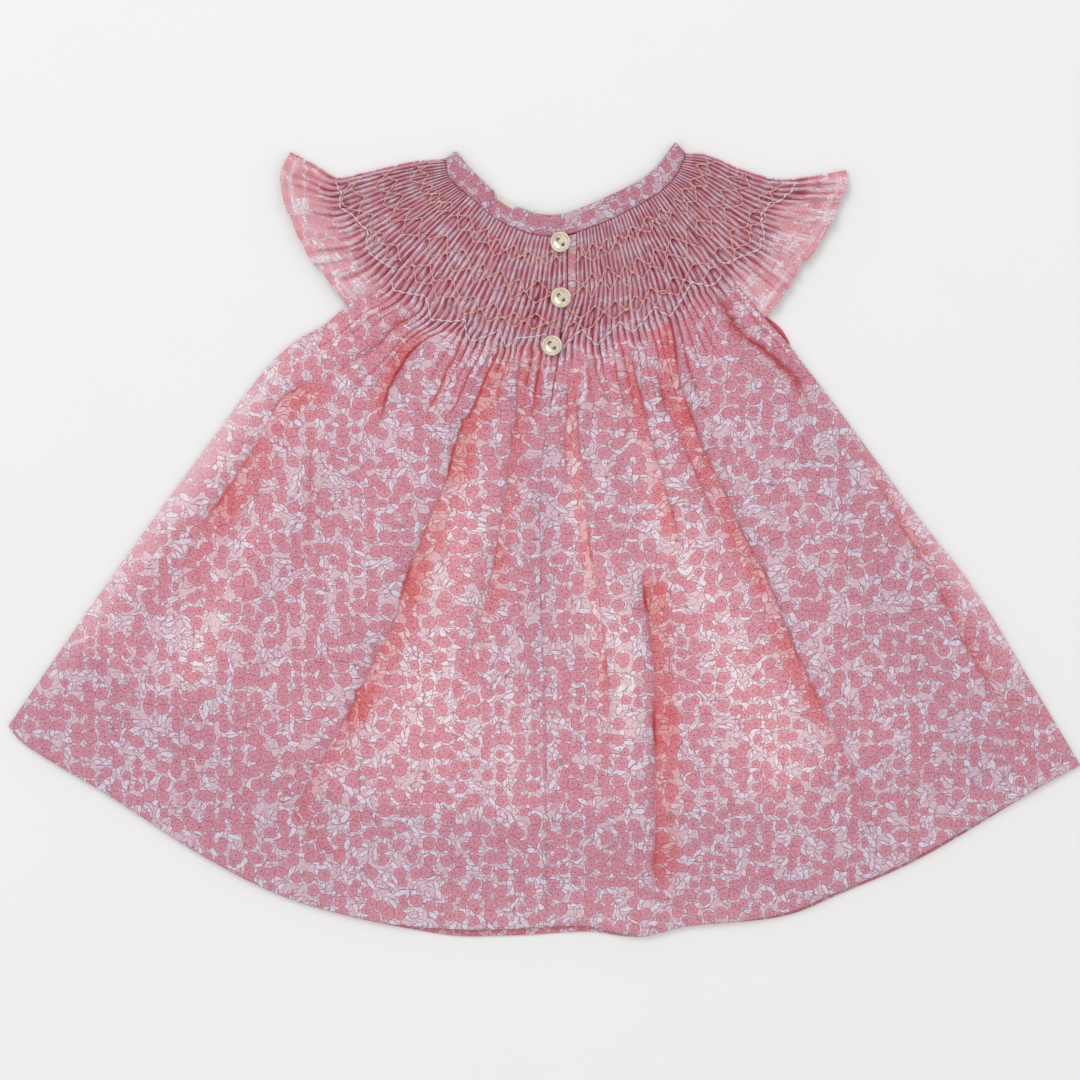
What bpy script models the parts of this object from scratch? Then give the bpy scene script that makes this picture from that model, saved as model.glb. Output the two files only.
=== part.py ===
"""A toddler's smocked bishop dress in cotton lawn, laid flat on its front, with its buttoned back upward.

Sizes are in millimetres and become metres as the meshes are made. X runs across the dress, Y towards the
neck and Z up from the surface that the dress lies on. The origin is under the middle of the whole dress.

Two patches carry the cloth. On the body patch "across" runs from the left side seam (0) to the right one (1)
and "down" from the neck seam (0) to the hem (1). On a sleeve patch "across" runs from the fold at the shoulder
(0) to the raglan seam (1) and "down" from the neck seam (0) to the sleeve's edge (1).
"""

import math
from collections import namedtuple

import bmesh
import bpy
import numpy as np

MM = 0.001

# The cloth, and how its layers lie on each other.
WALL = 1.2
GAP = 0.3
SEAM_INSET = 0.65 * GAP
BACK_BASE = WALL + GAP
PLEAT_RISE = 1.7
SKIRT_RELIEF = 1.8
SKIRT_LOFT = 2.2

# The skirt stands highest from SKIRT_PUFF down to SKIRT_EBB, and settles by HEM_THINNING towards the hem. It
# comes down to its seams within SIDE_SLOPE of them, and its folds within SIDE_THINNING. SWELLS long low waves
# cross it, which drift sideways on their way down.
SKIRT_PUFF = 0.34
SKIRT_EBB = 0.5
HEM_THINNING = 0.65
SIDE_SLOPE = 0.12
SIDE_THINNING = 0.05
SWELLS = 6.5
SWELL_DRIFT = 0.4
SWELL_SHARE = 0.18

# Smocking: pleats on each back panel and on the upper half of each sleeve, and where the pleats let go.
PANEL_PLEATS = 28
SLEEVE_PLEATS = 12
COLUMNS_PER_PLEAT = 3
PLEAT_ROUNDNESS = 0.7
YOKE_END = 0.163
YOKE_WAVE = 0.012
YOKE_WAVES = 9
YOKE_RELEASE = 0.06
SLEEVE_YOKE_END = 0.66
SLEEVE_RELEASE = 0.10
RUFFLE_WAVES = 8
RUFFLE_DRIFT = 0.35
RUFFLE_RISE = 1.5
RUFFLE_LOFT = 1.2
RUFFLE_ENDS = 0.07

# Rows of points down each patch, in shares of its length. The raglan seams end at UNDERARM, and a sleeve shares
# the body's rows there, with a few more in its ruffle. The plain inner faces keep every sixth column.
UNDERARM = 0.24
YOKE_ROWS = (0, 0.02, 0.05, 0.085, 0.12, 0.15, 0.175, 0.2, UNDERARM)
SKIRT_ROWS = (0.28, 0.33, 0.40, 0.48, 0.57, 0.67, 0.77, 0.87, 0.95, 1)
BODY_ROWS = YOKE_ROWS + SKIRT_ROWS
RUFFLE_ROWS = (0.68, 0.78, 0.91)
SLEEVE_ROWS = tuple(sorted([row / UNDERARM for row in YOKE_ROWS] + list(RUFFLE_ROWS)))
INNER_COLUMN_STEP = 6
WIDTH_SAMPLES = 33
HEM_POINTS = 41
LOWER_SLEEVE_COLUMNS = 4
FOLD_STEPS = 4

Point = namedtuple("Point", "x y")

# The seam between the neckband and the smocking, from the left shoulder round to the right one.
NECK_SEAM = (
    Point(-54.0, 209.5),
    Point(-51.5, 199.0),
    Point(-41.0, 189.0),
    Point(-22.5, 174.5),
    Point(4.0, 167.0),
    Point(29.0, 173.5),
    Point(60.5, 189.5),
    Point(72.0, 200.5),
    Point(77.5, 212.5),
)

# The free upper edge of the back neckband, over the same stretch.
NECK_TOP = (
    Point(-48.5, 213.5),
    Point(-38.0, 202.5),
    Point(-16.0, 185.5),
    Point(6.0, 178.5),
    Point(34.5, 188.5),
    Point(58.0, 201.5),
    Point(72.0, 218.5),
)
BAND_WIDTH = 11.5
FRONT_BAND_SHARE = 0.82

# The raglan seams meet the neck seam this far along it.
RAGLAN_LEFT = 0.15
RAGLAN_RIGHT = 0.85

# The raglan seams, from below the neck seam to the underarm.
LEFT_RAGLAN = (Point(-64.0, 167.0), Point(-79.5, 149.5), Point(-90.0, 138.0), Point(-108.0, 129.0))
RIGHT_RAGLAN = (Point(89.0, 159.0), Point(105.5, 140.5), Point(121.0, 122.0))

# The side seams, from below the underarm to the hem's corner.
LEFT_SIDE = (
    Point(-123.0, 116.5),
    Point(-136.0, 109.5),
    Point(-153.5, 93.0),
    Point(-190.0, 44.5),
    Point(-230.5, -10.5),
    Point(-270.0, -67.0),
    Point(-294.5, -102.5),
)
RIGHT_SIDE = (
    Point(135.5, 105.5),
    Point(181.5, 44.5),
    Point(204.0, 14.0),
    Point(236.5, -28.0),
    Point(270.0, -83.0),
    Point(294.5, -124.0),
)

# The front panel's hem, from the left corner to the right one. The back panels' hem follows it.
HEM = (
    Point(-294.5, -102.5),
    Point(-286.5, -112.0),
    Point(-239.0, -141.0),
    Point(-183.5, -176.5),
    Point(-134.5, -199.5),
    Point(-55.5, -217.0),
    Point(-15.0, -217.5),
    Point(24.0, -215.5),
    Point(52.5, -218.5),
    Point(77.0, -213.0),
    Point(131.5, -207.0),
    Point(162.0, -195.0),
    Point(207.0, -175.0),
    Point(273.5, -135.5),
    Point(294.5, -124.0),
)

# The shoulder folds, from the neck seam to the sleeve's tip.
LEFT_SHOULDER = (Point(-71.0, 208.0), Point(-100.5, 201.5), Point(-113.5, 199.0), Point(-126.0, 206.0))
RIGHT_SHOULDER = (Point(89.5, 211.5), Point(107.5, 204.0), Point(127.0, 198.5), Point(145.5, 199.5))

# The sleeves' free edges, from the tip to the underarm, which closes them.
LEFT_SLEEVE_EDGE = (Point(-139.5, 213.0), Point(-145.0, 199.0), Point(-139.0, 174.0), Point(-123.5, 146.5))
RIGHT_SLEEVE_EDGE = (
    Point(166.0, 203.0),
    Point(166.0, 190.5),
    Point(156.0, 169.0),
    Point(142.5, 150.0),
    Point(131.5, 133.0),
)

# Where a ruffle pleat overlaps the next one, the sleeve's edge steps in by this much and runs out again.
Step = namedtuple("Step", "at depth reach")
LEFT_EDGE_STEPS = (Step(0.36, 1.2, 0.2), Step(0.70, 2.2, 0.22))
RIGHT_EDGE_STEPS = (Step(0.19, 3.0, 0.25), Step(0.70, 3.0, 0.22))

# Where the front panel shows below the back one, the back's hem is lifted by this much. The lift starts this
# far down the skirt.
HEM_LIFT_FROM = 0.6
Lift = namedtuple("Lift", "across height")
HEM_LIFTS = (
    Lift(0.0, 0.0),
    Lift(0.36, 0.3),
    Lift(0.44, 3.4),
    Lift(0.52, 3.4),
    Lift(0.60, 0.2),
    Lift(0.65, 0.2),
    Lift(0.74, 1.6),
    Lift(0.88, 1.6),
    Lift(0.96, 0.2),
    Lift(1.0, 0.0),
)

# The creases of the skirt. Each is a trough whose line passes across = top, middle and bottom, between two
# places down the skirt. Depth is a share of the relief and width is in millimetres.
CREASE_LEAD = 0.11
CREASE_TAIL = 0.25
Crease = namedtuple("Crease", "start end top middle bottom depth width")
CREASES = (
    Crease(0.21, 0.90, 0.100, 0.058, 0.058, 0.7, 7.0),
    Crease(0.19, 0.33, 0.188, 0.180, 0.190, 0.7, 3.0),
    Crease(0.18, 0.32, 0.253, 0.262, 0.276, 0.8, 3.0),
    Crease(0.17, 0.27, 0.218, 0.222, 0.228, 0.6, 2.4),
    Crease(0.17, 0.26, 0.300, 0.305, 0.312, 0.6, 2.4),
    Crease(0.18, 0.84, 0.350, 0.330, 0.277, 1.0, 3.4),
    Crease(0.17, 0.25, 0.378, 0.380, 0.384, 0.6, 2.2),
    Crease(0.17, 0.70, 0.410, 0.438, 0.396, 0.8, 2.8),
    Crease(0.17, 0.29, 0.460, 0.459, 0.457, 0.7, 2.4),
    Crease(0.17, 0.38, 0.537, 0.530, 0.536, 0.9, 3.0),
    Crease(0.22, 0.80, 0.545, 0.565, 0.562, 0.7, 2.8),
    Crease(0.17, 0.27, 0.570, 0.575, 0.581, 0.6, 2.4),
    Crease(0.18, 0.29, 0.597, 0.608, 0.622, 0.8, 2.6),
    Crease(0.18, 0.34, 0.643, 0.647, 0.651, 0.8, 2.6),
    Crease(0.18, 0.51, 0.685, 0.688, 0.698, 0.8, 3.0),
    Crease(0.18, 0.49, 0.733, 0.733, 0.759, 0.8, 3.0),
    Crease(0.17, 0.90, 0.780, 0.782, 0.817, 1.0, 4.2),
    Crease(0.16, 0.26, 0.850, 0.853, 0.858, 0.6, 2.4),
    Crease(0.16, 0.37, 0.925, 0.950, 0.978, 0.8, 6.0),
    Crease(0.50, 1.00, 0.982, 0.966, 0.962, 0.6, 4.0),
    Crease(0.50, 1.00, 0.634, 0.620, 0.595, 0.8, 3.4),
    Crease(0.40, 0.82, 0.112, 0.180, 0.222, 0.5, 6.0),
    Crease(0.70, 0.84, 0.370, 0.380, 0.387, 0.4, 3.0),
)

# The centre back: the lapped edge of the left panel and the far edge of the placket strip, down the opening,
# then the centre seam to the hem.
Opening = namedtuple("Opening", "down lap strip")
OPENING = (
    Opening(0.0, 0.519, 0.560),
    Opening(0.08, 0.525, 0.556),
    Opening(0.175, 0.499, 0.4995),
    Opening(0.35, 0.494, 0.494),
    Opening(1.0, 0.508, 0.508),
)
PLACKET_ROWS = 6
PLACKET_RAISE = 0.4

# The neckband lies flatter than the smocking, on the label.
BAND_BASE = 2.4
BAND_WALL = 1.3
BAND_CROWN = 0.3
BAND_OPENING = 0.535
BAND_COLUMNS = 14
BAND_ROWS_ACROSS = 3

# The label, inside the left back neckband. Its upper edge shows.
LABEL_CENTRE = Point(-20.5, 184.2)
LABEL_WIDTH = 12.0
LABEL_HEIGHT = 10.0
LABEL_THICKNESS = 0.6
LABEL_TURN = math.radians(-33.0)
LABEL_EDGE_BEVEL = 0.15

# Buttons, of mother-of-pearl with two holes on a slant.
ButtonRing = namedtuple("ButtonRing", "radius height")
BUTTON_PROFILE = (
    ButtonRing(3.9, 0.0),
    ButtonRing(5.2, 0.6),
    ButtonRing(5.5, 1.3),
    ButtonRing(5.1, 2.1),
    ButtonRing(4.4, 2.4),
    ButtonRing(3.2, 1.6),
    ButtonRing(1.8, 1.4),
)
BUTTON_SIDES = 28
BUTTON_HOLE_RADIUS = 0.75
BUTTON_HOLE_SPACING = 3.4
BUTTON_HOLE_SIDES = 12
BUTTON_CUT_DEPTH = 14.0
BUTTON_HOLE_SLANT = math.radians(-45.0)
BUTTONS = {
    "button_top": Point(8.8, 163.2),
    "button_middle": Point(9.1, 132.7),
    "button_bottom": Point(4.2, 106.4),
}

# The bound edge of the armhole that shows as a small loop at the right underarm.
BINDING_REACH = 0.05
BINDING_WIDTH = 2.2
BINDING_TIP = 0.5
BINDING_CLEARANCE = 0.4
BINDING_POINTS = 9
BINDING_HEIGHT = 1.7

SHARP_ANGLE = math.radians(35.0)

# Each finish is a colour and a roughness.
FINISHES = {
    "cotton": ((0.68, 0.42, 0.49), 0.85),
    "neckband_cotton": ((0.64, 0.38, 0.48), 0.85),
    "binding_cotton": ((0.45, 0.10, 0.12), 0.85),
    "label_tape": ((0.86, 0.83, 0.76), 0.8),
    "pearl": ((0.76, 0.72, 0.55), 0.28),
}


def smoothstep(low, high, value):
    """0 below low, 1 above high, and a smooth rise between."""
    share = np.clip((np.asarray(value, float) - low) / (high - low), 0.0, 1.0)
    return share * share * (3.0 - 2.0 * share)


class Curve:
    """A smooth curve through points in the plane, read by a share of its length from 0 to 1."""

    def __init__(self, points):
        self.points = np.array(points, float)
        spans = np.linalg.norm(np.diff(self.points, axis=0), axis=1)
        self.knots = np.concatenate([[0.0], np.cumsum(spans)])
        self.tangents = np.empty_like(self.points)
        reach = (self.knots[2:] - self.knots[:-2])[:, None]
        self.tangents[1:-1] = (self.points[2:] - self.points[:-2]) / reach
        self.tangents[0] = (self.points[1] - self.points[0]) / spans[0]
        self.tangents[-1] = (self.points[-1] - self.points[-2]) / spans[-1]

    @property
    def length(self):
        return self.knots[-1]

    def __call__(self, share):
        place = np.asarray(share, float) * self.length
        left = np.clip(np.searchsorted(self.knots, place, side="right") - 1, 0, len(self.knots) - 2)
        span = (self.knots[left + 1] - self.knots[left])[..., None]
        f = (place - self.knots[left])[..., None] / span
        return (
            (1 + 2 * f) * (1 - f) ** 2 * self.points[left]
            + f * (1 - f) ** 2 * span * self.tangents[left]
            + f * f * (3 - 2 * f) * self.points[left + 1]
            + f * f * (f - 1) * span * self.tangents[left + 1]
        )


class Stretch:
    """Part of a curve, read from 0 to 1. A start past its end runs the curve backwards."""

    def __init__(self, curve, start, end):
        self.curve = curve
        self.start = start
        self.end = end

    def __call__(self, share):
        return self.curve(self.start + (self.end - self.start) * np.asarray(share, float))


class Joined:
    """Two curves end to end, which meet at a share of the whole."""

    def __init__(self, first, second, meeting):
        self.first = first
        self.second = second
        self.meeting = meeting
        self.length = first.length + second.length

    def __call__(self, share):
        share = np.asarray(share, float)
        early = self.first(np.clip(share / self.meeting, 0.0, 1.0))
        late = self.second(np.clip((share - self.meeting) / (1 - self.meeting), 0.0, 1.0))
        return np.where((share < self.meeting)[..., None], early, late)


class Patch:
    """The plane surface inside four curves: neck and hem run across, left and right run down."""

    def __init__(self, neck, hem, left, right):
        self.neck = neck
        self.hem = hem
        self.left = left
        self.right = right

    def __call__(self, across, down):
        across, down = np.broadcast_arrays(np.asarray(across, float), np.asarray(down, float))
        s = across[..., None]
        t = down[..., None]
        ruled = (1 - t) * self.neck(across) + t * self.hem(across)
        ruled = ruled + (1 - s) * self.left(down) + s * self.right(down)
        corners = (1 - s) * ((1 - t) * self.neck(0.0) + t * self.hem(0.0))
        corners = corners + s * ((1 - t) * self.neck(1.0) + t * self.hem(1.0))
        return ruled - corners

    def width(self, down):
        """The length of the patch across, at each place down it."""
        line = self(np.linspace(0.0, 1.0, WIDTH_SAMPLES)[:, None], np.asarray(down, float)[None, :])
        return np.linalg.norm(np.diff(line, axis=0), axis=2).sum(axis=0)


NECK = Curve(NECK_SEAM)
LEFT_NECK = Stretch(NECK, RAGLAN_LEFT, 0.0)
RIGHT_NECK = Stretch(NECK, RAGLAN_RIGHT, 1.0)
LEFT_SEAM = Joined(
    Curve([tuple(NECK(RAGLAN_LEFT)), *LEFT_RAGLAN]),
    Curve([LEFT_RAGLAN[-1], *LEFT_SIDE]),
    UNDERARM,
)
RIGHT_SEAM = Joined(
    Curve([tuple(NECK(RAGLAN_RIGHT)), *RIGHT_RAGLAN]),
    Curve([RIGHT_RAGLAN[-1], *RIGHT_SIDE]),
    UNDERARM,
)
BODY = Patch(Stretch(NECK, RAGLAN_LEFT, RAGLAN_RIGHT), Curve(HEM), LEFT_SEAM, RIGHT_SEAM)


def sleeve_patch(neck, shoulder, edge, raglan):
    """A sleeve's upper half: the shoulder fold is its left side and the raglan seam its right side."""
    fold = Curve([tuple(neck(1.0)), *shoulder, edge[0]])
    hem = Curve([*edge, tuple(raglan(1.0))])
    return Patch(Stretch(neck, 1.0, 0.0), hem, fold, raglan)


LEFT_SLEEVE = sleeve_patch(LEFT_NECK, LEFT_SHOULDER, LEFT_SLEEVE_EDGE, LEFT_SEAM.first)
RIGHT_SLEEVE = sleeve_patch(RIGHT_NECK, RIGHT_SHOULDER, RIGHT_SLEEVE_EDGE, RIGHT_SEAM.first)


def yoke_end(across):
    """How far down the smocking reaches: its last row of stitches waves."""
    return YOKE_END + YOKE_WAVE * np.cos(2 * math.pi * YOKE_WAVES * np.asarray(across, float))


def pleat_ridge(count):
    """The height of a pleat, 0 to 1: a full round ridge between narrow valleys."""
    return np.abs(np.sin(math.pi * np.asarray(count, float))) ** PLEAT_ROUNDNESS


def crease_depth(across, down, width):
    """How deep the skirt's creases are at each point, 0 to 1."""
    depth = np.zeros(np.broadcast(across, down).shape)
    for crease in CREASES:
        run = (down - crease.start) / (crease.end - crease.start)
        bow = crease.middle - (crease.top + crease.bottom) / 2
        line = crease.top + (crease.bottom - crease.top) * run + 4 * bow * run * (1 - run)
        aside = (across - line) * width / crease.width
        fade = smoothstep(-CREASE_LEAD, CREASE_LEAD, run) * smoothstep(1 + CREASE_LEAD, 1 - CREASE_TAIL, run)
        depth = np.maximum(depth, crease.depth * fade * np.exp(-aside * aside))
    return depth


def body_loft(across, down):
    """How far the back of the skirt stands off the front below it."""
    rise = smoothstep(YOKE_END, SKIRT_PUFF, down) * (1 - HEM_THINNING * smoothstep(SKIRT_EBB, 1.0, down))
    middle = smoothstep(0.0, SIDE_SLOPE, across) * smoothstep(1.0, 1.0 - SIDE_SLOPE, across)
    swell = 1 - SWELL_SHARE * (1 - np.cos(2 * math.pi * (SWELLS * across + SWELL_DRIFT * down)))
    return SKIRT_LOFT * rise * middle * swell


def body_relief(across, down, pleats, width):
    """What the back panels' outer face rises over its wall: pleats in the yoke, then folds in the skirt."""
    release = smoothstep(yoke_end(across), yoke_end(across) + YOKE_RELEASE, down)
    folds = SKIRT_RELIEF * (1 - crease_depth(across, down, width))
    folds = folds * (1 - HEM_THINNING * smoothstep(SKIRT_EBB, 1.0, down))
    sides = smoothstep(0.0, SIDE_THINNING, across) * smoothstep(1.0, 1.0 - SIDE_THINNING, across)
    pleated = PLEAT_RISE * pleat_ridge(pleats)
    return (1 - release) * pleated + release * folds * sides


def read_table(value, places, heights):
    """The height at each value, with a smooth run from each row of the table to the next."""
    places = np.array(places)
    heights = np.array(heights)
    row = np.clip(np.searchsorted(places, value, side="right") - 1, 0, len(places) - 2)
    share = smoothstep(0.0, 1.0, (value - places[row]) / (places[row + 1] - places[row]))
    return heights[row] + share * (heights[row + 1] - heights[row])


def hem_lift(across):
    """How far the back's hem lies above the front's."""
    return read_table(across, [lift.across for lift in HEM_LIFTS], [lift.height for lift in HEM_LIFTS])


def lap_edge(down):
    """Where the left back panel ends, across the body, at each place down it."""
    return read_table(down, [row.down for row in OPENING], [row.lap for row in OPENING])


def strip_edge(down):
    """Where the placket strip ends and the right back panel starts."""
    return read_table(down, [row.down for row in OPENING], [row.strip for row in OPENING])


def columns_between(first, last, shares):
    """Places across, [column][row], spread by shares between two edges that vary down the patch."""
    return first[None, :] + (last - first)[None, :] * shares[:, None]


def back_panel(name, first, last):
    """A back panel between two edges, which are given across the body at each row."""
    rows = np.array(BODY_ROWS, float)
    shares = np.linspace(0.0, 1.0, PANEL_PLEATS * COLUMNS_PER_PLEAT + 1)
    across = columns_between(first, last, shares)
    fall = hem_lift(across) / LEFT_SEAM.length
    down = rows[None, :] - fall * smoothstep(HEM_LIFT_FROM, 1.0, rows)[None, :]
    place = BODY(across, down)
    width = BODY.width(rows)[None, :]
    pleats = PANEL_PLEATS * shares[:, None]
    inner = BACK_BASE + body_loft(across, down)
    outer = inner + WALL + body_relief(across, down, pleats, width)
    kept = slice(None, None, INNER_COLUMN_STEP)
    inner_points = np.dstack([place, inner])[kept]
    return wall(name, np.dstack([place, outer]), inner_points, "cotton")


def back_panels():
    rows = np.array(BODY_ROWS, float)
    inset = SEAM_INSET / BODY.width(rows)
    back_panel("back_left", inset, lap_edge(rows) - inset)
    back_panel("back_right", strip_edge(rows) + inset, 1 - inset)


def placket():
    """The bound strip between the two back panels, down to where the opening ends."""
    rows = np.array(BODY_ROWS[:PLACKET_ROWS], float)
    inset = SEAM_INSET / BODY.width(rows)
    first = lap_edge(rows) + inset
    last = strip_edge(rows) - inset
    across = columns_between(first, last, np.linspace(0.0, 1.0, 3))
    place = BODY(across, np.broadcast_to(rows[None, :], across.shape))
    bottom = np.full(across.shape, BACK_BASE)
    top = bottom + WALL + PLACKET_RAISE * np.array([0.0, 1.0, 0.0])[:, None]
    return wall("placket", np.dstack([place, top]), np.dstack([place, bottom]), "cotton")


def edge_step(steps, share):
    """How far a sleeve's edge steps in, in millimetres, at each share of its way from fold to seam."""
    depth = np.zeros(np.shape(share))
    for step in steps:
        past = np.asarray(share, float) - step.at
        depth = np.maximum(depth, step.depth * (past >= 0) * np.clip(1 - past / step.reach, 0.0, 1.0))
    return depth


def sleeve_height(share, down):
    """(loft, relief) of a sleeve's upper half: smocked pleats, then the waves of the ruffle."""
    release = smoothstep(SLEEVE_YOKE_END, SLEEVE_YOKE_END + SLEEVE_RELEASE, down)
    pleated = PLEAT_RISE * pleat_ridge(SLEEVE_PLEATS * share)
    turn = RUFFLE_WAVES * share + RUFFLE_DRIFT * np.sin(3 * math.pi * share)
    wave = 0.5 - 0.5 * np.cos(2 * math.pi * turn)
    ends = smoothstep(0.0, RUFFLE_ENDS, share) * smoothstep(1.0, 1.0 - RUFFLE_ENDS, share)
    loft = RUFFLE_LOFT * release * ends
    return loft, (1 - release) * pleated + release * RUFFLE_RISE * wave * ends


def sleeve(name, patch, steps):
    """One wall from the front raglan seam, flat on the surface, round the shoulder fold and over to the back."""
    rows = np.array(SLEEVE_ROWS, float)
    width = patch.width(rows)
    radius = (BACK_BASE + WALL) / 2
    hollow = GAP / 2
    first = radius / width
    last = 1 - SEAM_INSET / width
    down = rows[None, :]

    def reach(shares):
        across = columns_between(first, last, shares)
        fall = edge_step(steps, shares)[:, None] / patch.left.length
        return patch(across, down * (1 - fall))

    def flat(shares, height):
        place = reach(shares)
        return np.dstack([place, np.full(place.shape[:2], height)])

    def fold(steps_round, turn_radius):
        angles = np.linspace(-math.pi / 2, math.pi / 2, steps_round + 1)[1:-1]
        across = (radius - turn_radius * np.cos(angles))[:, None] / width[None, :]
        place = patch(across, down)
        height = np.broadcast_to((radius + turn_radius * np.sin(angles))[:, None], across.shape)
        return np.dstack([place, height])

    def upper(shares, on_top):
        loft, relief = sleeve_height(shares[:, None], down)
        height = BACK_BASE + loft + (WALL + relief) * on_top
        return np.dstack([reach(shares), height])

    lower_shares = np.linspace(1.0, 0.0, LOWER_SLEEVE_COLUMNS + 1)
    pleat_shares = np.linspace(0.0, 1.0, SLEEVE_PLEATS * COLUMNS_PER_PLEAT + 1)
    outer = [flat(lower_shares, 0.0), fold(FOLD_STEPS, radius), upper(pleat_shares, 1.0)]
    plain_shares = pleat_shares[::INNER_COLUMN_STEP]
    inner = [flat(lower_shares, WALL), fold(FOLD_STEPS, hollow), upper(plain_shares, 0.0)]
    outer_marks = sleeve_marks(pleat_shares)
    inner_marks = sleeve_marks(plain_shares)
    return wall(name, np.concatenate(outer), np.concatenate(inner), "cotton", outer_marks, inner_marks)


def sleeve_marks(upper_shares):
    """A rising number for each column round a sleeve, the same for columns that face each other."""
    lower = np.linspace(-2.0, -1.0, LOWER_SLEEVE_COLUMNS + 1)
    fold = np.linspace(-1.0, 0.0, FOLD_STEPS + 1)[1:-1]
    return np.concatenate([lower, fold, upper_shares])


def front_panel():
    """The front panel, a flat plate under the back ones with the same seams."""
    shares = np.linspace(0.0, 1.0, HEM_POINTS)
    sides = np.array(BODY_ROWS[1:-1], float)
    inset = SEAM_INSET / BODY.width(sides)
    neck_inset, hem_inset = SEAM_INSET / BODY.width(np.array([0.0, 1.0]))
    neck_shares = neck_inset + (1 - 2 * neck_inset) * shares
    hem_shares = hem_inset + (1 - 2 * hem_inset) * shares[::-1]
    outline = np.concatenate([
        BODY(neck_shares, GAP / LEFT_SEAM.length),
        BODY(1 - inset, sides),
        BODY(hem_shares, 1.0),
        BODY(inset, sides)[::-1],
    ])
    return plate("front", outline, 0.0, WALL, "cotton")


def neckbands():
    """The back neckband in two pieces that meet at the opening, and the front one under them."""
    top = Curve(NECK_TOP)
    end = GAP / NECK.length

    def band(name, first, last, base, reach, crown):
        shares = np.linspace(first, last, BAND_COLUMNS + 1)
        rise = np.linspace(GAP / BAND_WIDTH, reach, BAND_ROWS_ACROSS + 1)
        place = NECK(shares)[:, None] * (1 - rise)[None, :, None] + top(shares)[:, None] * rise[None, :, None]
        bottom = np.full(place.shape[:2], base)
        bulge = crown * np.sin(math.pi * np.linspace(0.0, 1.0, BAND_ROWS_ACROSS + 1))
        outer = np.dstack([place, bottom + BAND_WALL + bulge[None, :]])
        wall(name, outer, np.dstack([place, bottom])[::2], "neckband_cotton")

    band("neckband_back_left", end, BAND_OPENING - end, BAND_BASE, 1.0, BAND_CROWN)
    band("neckband_back_right", BAND_OPENING + end, 1 - end, BAND_BASE, 1.0, BAND_CROWN)
    band("neckband_front", end, 1 - end, 0.0, FRONT_BAND_SHARE, 0.0)


def label():
    """A plain woven label inside the left back neckband."""
    mesh = bmesh.new()
    bmesh.ops.create_cube(mesh, size=1.0)
    size = (LABEL_WIDTH * MM, LABEL_HEIGHT * MM, LABEL_THICKNESS * MM)
    bmesh.ops.scale(mesh, vec=size, verts=mesh.verts)
    bmesh.ops.bevel(mesh, geom=mesh.edges, offset=LABEL_EDGE_BEVEL * MM, segments=1, affect="EDGES")
    piece = object_of("label", mesh, "label_tape")
    height = BACK_BASE + LABEL_THICKNESS / 2
    piece.location = (LABEL_CENTRE.x * MM, LABEL_CENTRE.y * MM, height * MM)
    piece.rotation_euler.z = LABEL_TURN
    return piece


def button_hole_cutter(name, centre, side):
    """A cylinder that cuts one thread hole."""
    mesh = bmesh.new()
    bmesh.ops.create_cone(
        mesh,
        cap_ends=True,
        segments=BUTTON_HOLE_SIDES,
        radius1=BUTTON_HOLE_RADIUS * MM,
        radius2=BUTTON_HOLE_RADIUS * MM,
        depth=BUTTON_CUT_DEPTH * MM,
    )
    cutter = object_of(name, mesh, "pearl")
    reach = side * BUTTON_HOLE_SPACING / 2
    cutter.location = (
        (centre.x + reach * math.cos(BUTTON_HOLE_SLANT)) * MM,
        (centre.y + reach * math.sin(BUTTON_HOLE_SLANT)) * MM,
        BACK_BASE * MM,
    )
    cutter.hide_render = True
    cutter.display_type = "WIRE"
    return cutter


def button(name, centre):
    """A dished two-hole button, turned from its profile, lying on the pleats."""
    mesh = bmesh.new()
    seat = BACK_BASE + WALL + PLEAT_RISE + GAP
    angles = np.linspace(0.0, 2 * math.pi, BUTTON_SIDES, endpoint=False)
    spokes = np.stack([np.cos(angles), np.sin(angles)], axis=1)
    rings = [
        [mesh.verts.new((ring.radius * x * MM, ring.radius * y * MM, ring.height * MM)) for x, y in spokes]
        for ring in BUTTON_PROFILE
    ]
    for low, high in zip(rings, rings[1:]):
        for i in range(BUTTON_SIDES):
            j = (i + 1) % BUTTON_SIDES
            mesh.faces.new((low[i], low[j], high[j], high[i]))
    mesh.faces.new(rings[0][::-1])
    mesh.faces.new(rings[-1])
    piece = object_of(name, mesh, "pearl")
    piece.location = (centre.x * MM, centre.y * MM, seat * MM)
    for side in (-1, 1):
        cut = piece.modifiers.new(f"hole {side}", "BOOLEAN")
        cut.operation = "DIFFERENCE"
        cut.solver = "EXACT"
        cut.object = button_hole_cutter(f"{name}_hole_{side + 1}", centre, side)
    return piece


def underarm_binding():
    """The armhole's bound edge, looping out beside the right side seam."""
    shares = np.linspace(0.0, 1.0, BINDING_POINTS)
    seam = RIGHT_SEAM(UNDERARM + BINDING_REACH * shares)
    along = np.gradient(seam, axis=0)
    along /= np.linalg.norm(along, axis=1)[:, None]
    outward = np.stack([-along[:, 1], along[:, 0]], axis=1)
    if outward[0][0] < 0:
        outward = -outward
    bulge = BINDING_TIP + (BINDING_WIDTH - BINDING_TIP) * np.sin(math.pi * shares)
    inner = seam + outward * BINDING_CLEARANCE
    outer = seam + outward * (BINDING_CLEARANCE + bulge[:, None])
    outline = np.concatenate([inner, outer[::-1]])
    return plate("underarm_binding_right", outline, 0.0, BINDING_HEIGHT, "binding_cotton")


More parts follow.
